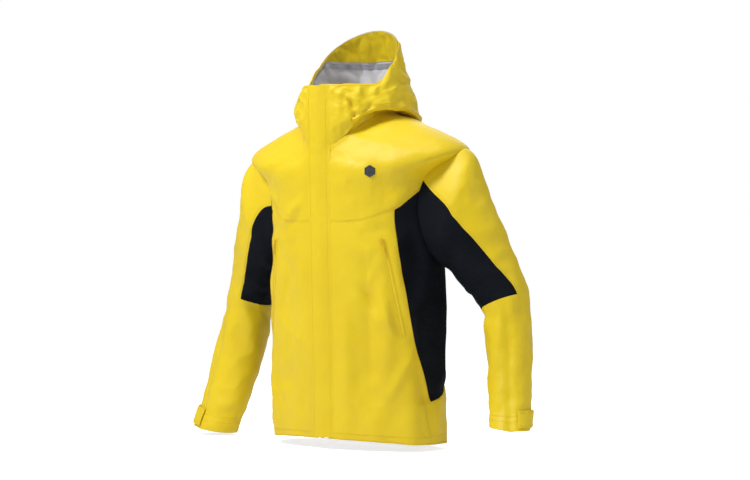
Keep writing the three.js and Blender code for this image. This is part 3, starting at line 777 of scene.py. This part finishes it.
def armhole_seam(angle):
    """The armhole on the skin of the left side."""
    turn = np.radians(angle)
    y = ARMHOLE["y"] - ARMHOLE["depth"] * np.sin(turn)
    z = ARMHOLE["z"] + ARMHOLE["height"] * np.cos(turn)
    return skin_through(y, z)


def arm_point(side, angle, s):
    """Points of a sleeve: angle 0 is its outside, 90 its front; s is 0 at the armhole, 1 on the first
    ring of ARM."""
    angle, s = np.broadcast_arrays(np.asarray(angle, float), np.asarray(s, float))
    rings = np.array(ARM + LOWER_ARM[side], float)
    cos, sin = np.cos(np.radians(angle)), np.sin(np.radians(angle))

    def ring(t):
        ox, oz, ix, iz, y, depth = np.moveaxis(smooth(rings, t), -1, 0)
        x = (ox + ix) / 2 + (ox - ix) / 2 * cos
        z = (oz + iz) / 2 + (oz - iz) / 2 * cos
        return np.stack([x, y - depth * sin, z], -1)

    start = armhole_seam(angle)
    first = ring(np.zeros(s.shape))
    leaving = (ring(np.full(s.shape, 0.02)) - first) / 0.02
    top = ease(0.2, 1.0, cos)[..., None]
    setting_out = (first - start) * (1 - top) + top * np.array([84.0, 0.0, -38.0])
    f = np.clip(s, 0, 1)[..., None]
    head = hermite(start, setting_out, first, leaving, f)
    points = np.where((s < 1)[..., None], head, ring(np.maximum(s - 1, 0)))
    return points * np.array([SIDES[side], 1, 1])


# Creases inside the elbow: where along the sleeve, how wide, how high.
ELBOW_CREASES = [
    (3.1, 0.16, 1.2), (3.45, 0.13, -1.4), (3.8, 0.14, 1.6), (4.3, 0.13, -3.6), (4.6, 0.2, 2.6),
]


def arm_relief(side, angle, s):
    """Creases inside the elbow, soft twist folds on the upper arm, and a long fold down the forearm."""
    inner = np.exp(-((turn_apart(angle, 150) / 62) ** 2))
    wander = 0.10 * np.sin(np.radians(angle * 2))
    creases = sum(high * bump(s, at + wander, wide) for at, wide, high in ELBOW_CREASES)
    twist = np.sin(np.radians(angle * 2) + s * 2.6 + SIDES[side]) * bump(s, 2.0, 1.1)
    fine = np.sin(np.radians(angle * 5) - s * 5.1) * bump(s, 4.6, 1.1)
    long_fold = np.exp(-((turn_apart(angle, 58) / 13) ** 2)) * ease(3.7, 4.7, s)
    return (inner * creases + 2.4 * twist + 1.4 * fine - 5.5 * long_fold) * ease(0.1, 0.9, s)


class Sleeve:
    """A settled sleeve and its grid."""

    def __init__(self, side):
        self.side = side
        rows = between([0.0, 1.0, float(ELBOW), float(CUFF)], spread(ARM_ROWS, ARM_ROW_EDGES))
        self.rows = rows
        front = np.interp(rows, *GUSSET_FRONT[side])
        back = GUSSET_BACK - GUSSET_NARROWS * np.minimum(rows / ELBOW, 1) ** 2
        across = spread(ARM_COLUMNS, ARM_COLUMN_EDGES)[:-1]
        t = np.broadcast_to(across, (len(rows), len(across)))
        self.angle = between([front[:, None], back[:, None], front[:, None] + 360], t)
        s = np.broadcast_to(rows[:, None], self.angle.shape)
        points = arm_point(side, self.angle, s)
        self.sign = SIDES[side]
        normals = normals_of(points, True) * self.sign
        middle = len(rows) // 2
        if np.sum(normals[middle] * (points[middle] - points[middle].mean(0))) < 0:
            self.sign, normals = -self.sign, -normals
        relief = arm_relief(side, self.angle, s) + crinkle(points, 48.0, 2.2) * ease(0.5, 1.5, s)
        points = points + normals * relief[..., None]
        self.cells = grid_cells(*self.angle.shape, True)
        if self.sign < 0:
            self.cells = self.cells[..., ::-1]
        pins = np.full(s.shape, 0.22)
        pins = np.maximum(pins, 1 - ease(0.3, 1.2, s))
        pins = np.maximum(pins, ease(CUFF - 0.5, CUFF - 0.1, s) * 0.8)
        self.points = settle(f"sleeve_cloth_{side}", points, self.cells, pins, 0.02, 7.0, closed=True)
        self.normals = normals_of(self.points, True) * self.sign
        self.tree = search_tree(self.points, self.cells)

    def on_cloth(self, angle, s, lift):
        """Points lifted off the settled sleeve, with normals."""
        angle, s = np.broadcast_arrays(np.asarray(angle, float), np.asarray(s, float))
        base = arm_point(self.side, angle, s)
        points, normals = base.copy(), base.copy()
        for k in np.ndindex(angle.shape):
            found, n, _, _ = self.tree.find_nearest(Vector(base[k]))
            points[k], normals[k] = found, n
        return points + normals * np.broadcast_to(lift, angle.shape)[..., None], normals


def build_sleeve(sleeve):
    """Gusset, upper sleeve and forearm, cut from the sleeve's grid, with their stitches."""
    side, points, normals, cells = sleeve.side, sleeve.points, sleeve.normals, sleeve.cells
    lifted = points + normals * (1.2 * (1 - ease(0, 0.35, sleeve.rows)))[:, None, None]
    elbow, steps = ARM_ROWS[0] + ARM_ROWS[1], ARM_COLUMNS[0]
    pieces = [
        (f"sleeve_gusset_{side}", cells[:elbow, :steps], "stretch", bend_shoulder),
        (f"sleeve_upper_{side}", cells[:elbow, steps:], "shell", bend_shoulder),
        (f"sleeve_forearm_{side}", cells[elbow:], "shell", bend_elbow),
    ]
    plain = np.zeros(sleeve.angle.shape, bool)
    plain[elbow, steps + 1:] = True
    for name, picked, look, bend in pieces:
        obj = thin_panel(name, lifted, normals, picked.reshape(-1, 4), look, plain=plain)
        bend(stand_in(obj, name), side)
    lines = [(points[:elbow, column], normals[:elbow, column]) for column in (-1, steps + 1)]
    bend_shoulder(run_of_stitches(f"upper_stitches_{side}", lines), side)
    rings = [[np.vstack([grid[row], grid[row, :1]]) for grid in (points, normals)] for row in (-5, -7)]
    bend_elbow(run_of_stitches(f"forearm_stitches_{side}", rings), side)


# ---------- collar and hood ----------
CHIN_EDGE = 41  # angle of the hood's front edge
CROWN = 142  # angle of the seam between the hood's side and its centre
FACING_LOW = 866
HOOD_FOOT = line_through([
    (30, 716), (38, 720), (47, 731), (56, 741), (72, 744), (93, 744), (134, 727), (180, 716),
])
# Folds of the chin and hood, as for the torso but round a smaller circle.
FACE_FOLDS = [
    (78, 766, 73, 735, 4, -5.5), (73, 735, 81, 719, 4, -6.0), (55, 785, 78, 763, 6, 4.5),
    (66, 760, 74, 726, 5, 5.0), (81, 716, 69, 687, 5, 5.0), (88, 711, 76, 687, 4, -4.0),
    (105, 792, 96, 772, 5, 3.4), (114, 764, 101, 741, 5, -4.4), (84, 772, 90, 738, 5, 4.6),
    (98, 712, 135, 727, 6, 3.0), (40, 712, 66, 682, 8, 2.6), (46, 790, 60, 770, 6, 2.2),
    (121, 753, 163, 767, 8, 4.4), (132, 775, 175, 795, 7, 3.8), (200, 865, 223, 836, 6, -4.2),
    (188, 868, 210, 838, 6, 3.4), (178, 811, 253, 805, 7, -3.6), (186, 822, 250, 820, 7, 3.4),
    (186, 768, 253, 769, 9, 3.4), (122, 775, 144, 798, 6, 3.4), (210, 800, 268, 826, 10, 3.0),
    (278, 860, 348, 850, 11, 2.6), (295, 800, 350, 760, 10, 3.0), (240, 900, 304, 880, 9, 2.2),
]


def head_relief(angle, points):
    """Folds of the chin and hood; both share them, so that they lie flat on each other."""
    from_front = np.minimum(angle % 360, -angle % 360)
    relief = folds(np.radians(from_front) * HEAD_RADIUS, points[..., 2], FACE_FOLDS)
    relief = relief * np.where(angle % 360 < 180, 1, 0.75)
    relief += crinkle(points, 34.0, 2.6) + crinkle(points, 15.0, 0.8)
    return 1.3 * relief * ease(15, 24, from_front)


def build_collar():
    """The stand collar: the chin guard in front, and standing inside the hood at the sides and back."""
    angle = np.concatenate([np.linspace(-180, -9, 100), np.linspace(-7, 7, 9), np.linspace(9, 180, 100)])
    t_row = np.concatenate([[0, 0.012], np.linspace(0.04, 0.985, 50), [1]])
    t_row, angle = np.meshgrid(t_row, angle, indexing="ij")
    ends = np.abs(angle)
    beyond = ease(CHIN_EDGE - 2, CHIN_EDGE + 14, ends)
    top = RIM - 0.05 + (NECK + 1.9 - RIM) * beyond
    ring = NECK + (top - NECK) * t_row
    points = skin(angle, ring)
    relief = head_relief(angle, points) * ease(0, 0.12, ring - NECK) * ease(0, 0.25, RIM - ring)
    tuck = beyond * (3 + 13 * ease(0.0, 1.2, ring - NECK))
    points = points + normals_of(points) * (relief - tuck)[..., None]
    pins = np.maximum(0.2, 1 - ease(12, 22, ends))
    pins[0], pins[-1] = 1, 0.8
    cells = grid_cells(*angle.shape)
    points = settle("collar_cloth", points, cells, np.maximum(pins, beyond), 0.02, 6.0)
    normals = softened(normals_of(points), 2)
    middle, gap, reach = angle.shape[1] // 2, 5, 24
    for side, picked in (("left", cells[:, middle + gap:]), ("right", cells[:, :middle - gap])):
        name = f"chin_guard_{side}"
        stand_in(thin_panel(name, points, normals, picked, "shell"), name, "shell")
    spans = (slice(middle + gap, middle + reach), slice(middle - reach, middle - gap))
    run_of_stitches("collar_stitches", [(points[-3, span], normals[-3, span]) for span in spans], "shell")


def hood_points(angle, ring):
    """Places on the hood, which hangs down and a little out below its widest ring."""
    points = skin(angle, np.maximum(ring, HOOD_BASE))
    drop = np.maximum(skin(angle, HOOD_BASE)[..., 2] - skin(angle, ring)[..., 2], 0)
    drop = np.where(ring < HOOD_BASE, drop, 0)
    away = points * [1, 1, 0]
    away /= np.linalg.norm(away, axis=-1, keepdims=True)
    points = points + away * (drop * 0.26)[..., None]
    points[..., 2] -= drop
    return points


def build_hood():
    """The hood's outer cloth: two sides, a centre and a brim, with its foot, facing and lining."""
    angle = np.linspace(CHIN_EDGE - 4, 364 - CHIN_EDGE, 150)
    from_front = np.minimum(angle, 360 - angle)
    foot = ring_at(from_front, np.interp(from_front, *HOOD_FOOT))
    t = np.concatenate([[0, 0.012], np.linspace(0.035, 0.985, 62), [1]])
    t_row, angle = np.meshgrid(t, angle, indexing="ij")
    from_front = np.minimum(angle, 360 - angle)
    ring = foot[None, :] + (RIM - foot[None, :]) * t_row
    points = hood_points(angle, ring)
    relief = head_relief(angle, points)
    # The hood lies over the collar, further from it at the back than along the front edge.
    up, down = ring - ring[0], RIM - ring
    lap = 1.4 + 5 * (1 - ease(0, 0.8, up)) * ease(CHIN_EDGE + 10, CHIN_EDGE + 36, from_front)
    lap = lap + 1.6 * ease(CHIN_EDGE, CHIN_EDGE + 12, from_front)
    rise = relief * ease(0, 0.25, down) * ease(0, 0.2, up) + lap * ease(-0.02, 0.5, down)
    points = points + normals_of(points) * rise[..., None]
    pins = np.full(angle.shape, 0.2)
    pins[-1], pins[-2], pins[0], pins[1] = 1, 0.9, 1, 0.9
    pins[:, :2] = pins[:, -2:] = 0.9
    cells = grid_cells(*angle.shape)
    points = settle("hood_cloth", points, cells, pins, 0.014, 6.0)
    normals = softened(normals_of(points), 2)
    columns = angle.shape[1] - 1
    cut = int(np.searchsorted(angle[0], CROWN))
    far, brim = columns - cut, 12
    regions = {
        "hood_side_left": cells[:, :cut],
        "hood_side_right": cells[:, far:],
        "hood_centre": cells[:-brim, cut:far],
        "hood_brim": cells[-brim:, cut:far],
    }
    for name, picked in regions.items():
        bend_hood(stand_in(thin_panel(name, points, normals, picked, "shell"), name))
    runs = [-4, 3, *((slice(3, -4), seam + beside) for seam in (cut, far) for beside in (-1, 1))]
    bend_hood(run_of_stitches("hood_stitches", [(points[run], normals[run]) for run in runs]))
    build_hood_foot(points, normals, skin(angle[0], np.maximum(foot, NECK + 0.05)))
    build_hood_inside(points, normals)


def build_hood_foot(points, normals, seam):
    """The hood's lower edge is turned under in a soft roll, and runs in to the seam at the neck."""
    down = np.array([0, 0, -1.0])
    roll = [
        points[0] - normals[0] * (4.5 * (1 - math.cos(turn)) + 0.8) + down * 3.2 * math.sin(turn)
        for turn in np.radians([0, 45, 90, 140])
    ]
    inner = seam * (1 - 9 / np.linalg.norm(seam[:, :2], axis=1))[:, None]
    inner[:, 2] = seam[:, 2]
    roll += [roll[-1] + (inner - roll[-1]) * share for share in (0.35, 0.7, 1.0)]
    grid = np.stack(roll[::-1])
    cells = grid_cells(*grid.shape[:2])
    bend_hood(thin_panel("hood_hem_roll", grid, normals_of(grid), cells, "shell", "shell", 1.0, 0.1))


def bend_hood(obj):
    """A piece of the hood: bakes its placement into its mesh."""
    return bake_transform(obj)


def build_hood_inside(points, normals):
    """Facing and lining, a little inside the hood's outer cloth."""
    inside = points - normals * 2.4
    height = points[..., 2]
    low_edge = np.minimum(height[-1] - 9, FACING_LOW)
    count = len(height)
    for name, low, high, steps, look, depth in (
        ("brim_facing", low_edge, height[-1] - 1, 16, "shell", 1.4),
        ("hood_lining", np.maximum(height[0] + 6, 745), low_edge + 3, 30, "lining", 0.0),
        ("lining_tape", low_edge - 15, low_edge - 4, 4, "tape", 1.6),
    ):
        t = np.linspace(0, 1, steps)[:, None]
        target = low + (high - low) * t
        grid, n = np.zeros((2, steps, height.shape[1], 3))
        for column in range(height.shape[1]):
            rising = np.maximum.accumulate(height[:, column] + np.arange(count) * 1e-6)
            row = np.interp(target[:, column], rising, np.arange(count))
            for axis in range(3):
                grid[:, column, axis] = np.interp(row, np.arange(count), inside[:, column, axis])
                n[:, column, axis] = np.interp(row, np.arange(count), normals[:, column, axis])
        grid -= n * depth
        cells = grid_cells(steps, height.shape[1])
        bend_hood(stand_in(thin_panel(name, grid, n, cells, look, look, 1.0, 0.1), name))


# ---------- centre front ----------
# The flap's free and sewn edges, its height over the zip, and its fall towards the sewn edge.
FLAP_FREE, FLAP_STITCH, FLAP_LIFT, FLAP_FALL = -22, 33, 7.2, 6.7
FRONT_TOP, HEM_FRONT = 796, 21


def front_grid(x_values, z_values):
    """Angles and rings of places on the front, by x and height."""
    x, z = np.meshgrid(np.asarray(x_values, float), np.asarray(z_values, float))
    angle = np.zeros(x.shape)
    for _ in range(6):
        ring = ring_at(angle, z)
        angle = angle_at_x(x, ring)
    return angle, ring_at(angle, z)


def build_storm_flap():
    """The flap over the main zip: sewn down on the wearer's left, free and slightly wavy on the right."""
    rise = np.linspace(HEM_FRONT + 12, FRONT_TOP - 8, 110)
    z = np.concatenate([[HEM_FRONT + 2, HEM_FRONT + 4], rise, [FRONT_TOP]])
    width = np.linspace(FLAP_FREE + 6, FLAP_STITCH - 4, 12)
    x = np.concatenate([[FLAP_FREE, FLAP_FREE + 2], width, [FLAP_STITCH]])
    angle, ring = front_grid(x, z)
    share = (x - FLAP_FREE) / (FLAP_STITCH - FLAP_FREE)
    wave = 0.5 * np.sin(z / 43) + 0.35 * np.sin(z / 19 + 1)
    lift = FLAP_LIFT - FLAP_FALL * ease(0.4, 1.0, share)[None, :]
    lift = lift + (wave[:, None] + 0.5) * (1 - ease(0.1, 0.6, share))[None, :]
    points, normals = on_skin(angle, ring, lift)
    obj = thin_panel("storm_flap", points, normals, grid_cells(*angle.shape), "shell", "shell", 1.8, 0.4)
    stand_in(obj, "storm_flap", "storm_flap")
    lines = [(points[1:-1, column], normals[1:-1, column]) for column in (-3, 2)]
    run_of_stitches("flap_stitches", lines, "storm_flap")


def build_placket():
    """The inner flap behind the zip, from the wearer's right."""
    angle, ring = front_grid([-15, -8, 0, 8, 15], np.linspace(HEM_FRONT + 4, FRONT_TOP - 3, 60))
    obj = strip_on_skin("inner_placket", angle, ring, -3.4, "shell", groove=0.2)
    stand_in(obj, "inner_placket", "shell")


TOOTH_PITCH = 2.7
TOOTH_HALF = np.array([1.7, 1.15, 0.85])
# Corners and faces of a box, by the sign of x, y and z.
BOX_CORNERS = list(itertools.product((-1, 1), repeat=3))
BOX_FACES = [(0, 1, 3, 2), (4, 6, 7, 5), (0, 4, 5, 1), (2, 3, 7, 6), (0, 2, 6, 4), (1, 5, 7, 3)]


def build_main_zip():
    """Two tapes and a chain of staggered teeth."""
    for side, k in SIDES.items():
        name = f"zip_tape_{side}"
        across = sorted([k * 2.4, k * 7, k * 14.5])
        angle, ring = front_grid(across, np.linspace(HEM_FRONT + 3, FRONT_TOP - 2, 60))
        look = {"look": "tapecloth", "lining": "tapecloth", "thick": 0.9, "groove": 0.1}
        stand_in(strip_on_skin(name, angle, ring, -0.4, **look), name, "shell")
    points, faces = [], []
    for z in np.arange(HEM_FRONT + 12, FRONT_TOP - 6, TOOTH_PITCH):
        for k in (-1, 1):
            middle = np.array([k * 1.0, front_y(z) - 0.7, z + (TOOTH_PITCH / 2 if k > 0 else 0)])
            base = len(points)
            points += [middle + np.array(corner) * TOOTH_HALF for corner in BOX_CORNERS]
            faces += [tuple(base + corner for corner in face) for face in BOX_FACES]
    obj = new_object("zip_teeth", np.array(points), faces, "dark", range(len(faces)))
    stand_in(obj, "zip_chain", "shell")


# ---------- pockets, badge, tabs, loop ----------
POCKET_LIFT = {"zip": 0.5, "welt_inner": 1.3, "welt_outer": 1.1, "bag": -4.4}


def build_pocket(torso, side):
    """A slanted zip under a narrow welt, with its bag inside."""
    k = SIDES[side]
    t = np.linspace(0, 1, 46)
    middle = POCKET_TOP[0] + (POCKET_BOTTOM[0] - POCKET_TOP[0]) * t
    heights = POCKET_TOP[1] + (POCKET_BOTTOM[1] - POCKET_TOP[1]) * t

    def panel(piece, angle, z, look, **options):
        angle, z = np.broadcast_arrays(angle, z)
        points, normals = torso.under(angle, ring_at(angle, z), POCKET_LIFT[piece])
        name = f"pocket_{piece}_{side}"
        obj = thin_panel(name, points, normals, grid_cells(*angle.shape), look, **options)
        stand_in(obj, name, "shell")
        return points, normals

    def band(piece, offsets, look, **options):
        """A strip along the zip; its long lines are offsets millimetres further from the centre front."""
        across = np.degrees(k * np.array(offsets[::k]) / TORSO_RADIUS)
        angle = k * middle[::-1, None] + across[None, :]
        return panel(piece, angle, heights[::-1, None], look, **options)

    band("zip", [-4, -1.5, 0, 1.5, 4], "tapecloth", lining="tapecloth", thick=0.8, groove=0.1)
    near, near_normals = band("welt_inner", [-9.5, -7, -4, -0.1], "shell", groove=0.5)
    far, far_normals = band("welt_outer", [0.2, 4, 7, 9.5], "shell", groove=0.5)
    lines = [(near[:, 1], near_normals[:, 1]), (far[:, 2], far_normals[:, 2])]
    run_of_stitches(f"pocket_stitches_{side}", lines, "shell")
    bag_angle = k * np.linspace(16, 60, 18)[None, ::k]
    panel("bag", bag_angle, np.linspace(150, 455, 26)[:, None], "lining", thick=1.0, groove=0.2)


BADGE = {"angle": 25.5, "z": 606, "radius": 13.5}
# Share of the radius and height, from the hidden back up over the bevel to the middle.
BADGE_PROFILE = [
    (1.0, -2.0), (1.0, 0.9), (0.93, 1.5), (0.80, 1.5), (0.74, 1.0), (0.5, 1.05), (0.12, 1.1),
]


def build_badge(torso):
    """A plain raised hexagon with a bevelled rim."""
    ring = ring_at(BADGE["angle"], BADGE["z"])
    centre, normal = torso.under(np.array([[BADGE["angle"]]]), np.array([[ring]]), 0.0)
    centre, normal = centre[0, 0], normal[0, 0]
    across = np.cross([0, 0, 1.0], normal)
    across /= np.linalg.norm(across)
    up = np.cross(normal, across)
    corners = [math.radians(60 * c) for c in range(6)]
    points = [
        centre + normal * high + (across * math.sin(a) + up * math.cos(a)) * BADGE["radius"] * share
        for share, high in BADGE_PROFILE for a in corners
    ]
    faces = [tuple(range(6))[::-1]]
    for layer in range(len(BADGE_PROFILE) - 1):
        low, high = 6 * layer, 6 * layer + 6
        faces += [(low + c, low + (c + 1) % 6, high + (c + 1) % 6, high + c) for c in range(6)]
    faces.append(tuple(6 * (len(BADGE_PROFILE) - 1) + c for c in range(6)))
    turned = [face[::-1] for face in faces]
    obj = new_object("chest_badge", np.array(points), turned, "badge", range(len(faces)))
    stand_in(obj, "chest_badge", "shell")


def build_cuff_tab(sleeve):
    """A tab that wraps back round the cuff over a field of loop pile."""
    side = sleeve.side
    start = TAB_START[side]

    def band(piece, body, first, last, high, low, lift, look, corner=0.0, **options):
        """A band round the cuff, between two turns and two places along the sleeve, its end narrowed by
        corner."""
        name = f"cuff_{piece}_{side}"
        turn = np.linspace(0, 1, 34)
        across = np.linspace(0, 1, 9)[:, None]
        pinch = corner * np.clip((turn - 0.86) / 0.14, 0, 1)[None, :] ** 2
        s = CUFF - low - (high - low) * (0.5 + (across - 0.5) * (1 - pinch))
        angle, s = np.broadcast_arrays(start - (first + (last - first) * turn)[None, :], s)
        points, normals = sleeve.on_cloth(angle, s, lift)
        cells = grid_cells(*angle.shape)
        facing = np.sum(normals_of(points) * normals)
        cells = cells if facing > 0 else cells[..., ::-1]
        obj = thin_panel(name, points, normals, cells, look, look, **options)
        stand_in(obj, name, f"{body}_{side}")
        return points, normals

    band("loop_patch", "forearm", 16, 122, 0.44, 0.1, 1.2, "dark", thick=1.0, groove=0.2)
    band("hook_patch", "cuff_tab", 48, 84, 0.4, 0.14, 2.5, "dark", thick=1.0, groove=0.2)
    tab = band("tab", "cuff_tab", 1, 88, 0.48, 0.06, 4.6, "shell", 0.34, thick=1.8, groove=0.5)
    lines = [(tab[0][row], tab[1][row]) for row in (1, -2)]
    run_of_stitches(f"cuff_tab_stitches_{side}", lines, f"cuff_tab_{side}")


def build_hanger_loop():
    """A woven loop across the back of the neck, slightly bowed."""
    low, high = (mm_of(corner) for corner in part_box("hanger_loop"))
    along = np.linspace(0, 1, 30)[None, :]
    across = np.linspace(0, 1, 5)[:, None]
    x = low[0] + (high[0] - low[0]) * along
    y = (low[1] + high[1]) / 2 + 1.0
    z = low[2] + 3 + 7 * across + 5 * np.sin(np.pi * along)
    points = np.stack(np.broadcast_arrays(x, y, z), -1)
    cells = grid_cells(*points.shape[:2])
    obj = thin_panel("hanger_loop", points, normals_of(points), cells, "tape", "tape", 1.2, 0.2)
    stand_in(obj, "hanger_loop", "shell")


HARDWARE = {"zip_slider": "metal", "zip_pull": "metal", "zip_bottom_stop": "metal"}
HARDWARE.update({f"pocket_{piece}_{side}": "painted" for piece in ("slider", "pull") for side in SIDES})


def finish_hardware():
    """The moulded and cast pieces keep their exact shapes, with softened edges and their own finish."""
    for name, look in HARDWARE.items():
        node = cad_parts[name]
        node.data.materials.clear()
        node.data.materials.append(LOOKS[look].material)
        modifier = node.modifiers.new("softened_edges", "BEVEL")
        modifier.width = 0.35 * MM
        modifier.segments = 2


# ---------- stage, light and camera ----------
VIEW_AZIMUTH = 38
VIEW_DISTANCE = 4700
VIEW_HEIGHT = 457
PICTURE_WIDTH = 750
PIXEL = 2.25  # millimetres at the jacket for each pixel of the picture
AIM_OFFSET = 18 * PIXEL  # the jacket stands a little left of the picture's middle
FLOOR_REACH = 30.0
FLOOR_SEEN, WORLD_LIGHT = 0.72, 0.3
# Each light: its turn from the camera, distance and height in metres, size and power.
LIGHTS = {
    "key": (-56, 2.0, 2.5, 0.7, 57),
    "fill": (60, 2.8, 1.3, 2.0, 10),
    "top": (-10, 0.6, 2.9, 1.2, 20),
    "back": (172, 2.8, 2.2, 2.2, 26),
}


def seen_directly(tree, socket, otherwise, seen):
    """Feeds a socket one value where the camera looks straight at the surface, another elsewhere."""
    path = tree.nodes.new("ShaderNodeLightPath")
    span = tree.nodes.new("ShaderNodeMapRange")
    span.inputs["To Min"].default_value = otherwise
    span.inputs["To Max"].default_value = seen
    tree.links.new(path.outputs["Is Camera Ray"], span.inputs["Value"])
    tree.links.new(span.outputs["Result"], socket)


def build_floor():
    """A wide flat floor that the camera sees as nearly white."""
    material = bpy.data.materials.new("studio_white")
    material.use_nodes = True
    shader = material.node_tree.nodes["Principled BSDF"]
    shader.inputs["Base Color"].default_value = (0.95, 0.95, 0.95, 1)
    shader.inputs["Roughness"].default_value = 0.9
    shader.inputs["Emission Color"].default_value = (1, 1, 1, 1)
    seen_directly(material.node_tree, shader.inputs["Emission Strength"], 0.0, FLOOR_SEEN)
    signs = ((-1, -1), (1, -1), (1, 1), (-1, 1))
    corners = [(a * FLOOR_REACH, b * FLOOR_REACH, -0.004) for a, b in signs]
    mesh = bpy.data.meshes.new("studio_floor")
    mesh.from_pydata(corners, [], [(0, 1, 2, 3)])
    mesh.materials.append(material)
    floor = bpy.data.objects.new("studio_floor", mesh)
    bpy.context.scene.collection.objects.link(floor)


def add_light(name, turned, distance, height, size, power):
    turn = math.radians(VIEW_AZIMUTH + turned)
    data = bpy.data.lights.new(name, "AREA")
    data.energy = power
    data.size = size
    light = bpy.data.objects.new(name, data)
    light.location = (distance * math.sin(turn), -distance * math.cos(turn), height)
    aim = Vector((0, 0, VIEW_HEIGHT * MM)) - light.location
    light.rotation_euler = aim.to_track_quat("-Z", "Y").to_euler()
    bpy.context.scene.collection.objects.link(light)


def build_lights():
    for name, settings in LIGHTS.items():
        add_light(name, *settings)
    world = bpy.data.worlds.new("studio")
    world.use_nodes = True
    background = world.node_tree.nodes["Background"]
    background.inputs["Color"].default_value = (1, 1, 1, 1)
    seen_directly(world.node_tree, background.inputs["Strength"], WORLD_LIGHT, 1.0)
    bpy.context.scene.world = world
    bpy.context.scene.view_settings.view_transform = "Standard"


def build_camera():
    turn = math.radians(VIEW_AZIMUTH)
    right = np.array([math.cos(turn), math.sin(turn), 0])
    toward = np.array([math.sin(turn), -math.cos(turn), 0])
    spot = np.array([0, 0, VIEW_HEIGHT]) + right * AIM_OFFSET + toward * VIEW_DISTANCE
    data = bpy.data.cameras.new("camera")
    data.sensor_width = 36
    data.lens = data.sensor_width * VIEW_DISTANCE / (PICTURE_WIDTH * PIXEL)
    camera = bpy.data.objects.new("camera", data)
    camera.location = place(spot)
    camera.rotation_euler = (math.pi / 2, 0, turn)
    bpy.context.scene.collection.objects.link(camera)
    bpy.context.scene.camera = camera


TORSO = Torso()
build_torso(TORSO)
for each_side in SIDES:
    each_sleeve = Sleeve(each_side)
    build_sleeve(each_sleeve)
    build_cuff_tab(each_sleeve)
    build_pocket(TORSO, each_side)
build_collar()
build_hood()
build_storm_flap()
build_placket()
build_main_zip()
build_badge(TORSO)
build_hanger_loop()
finish_hardware()
build_floor()
build_lights()
build_camera()
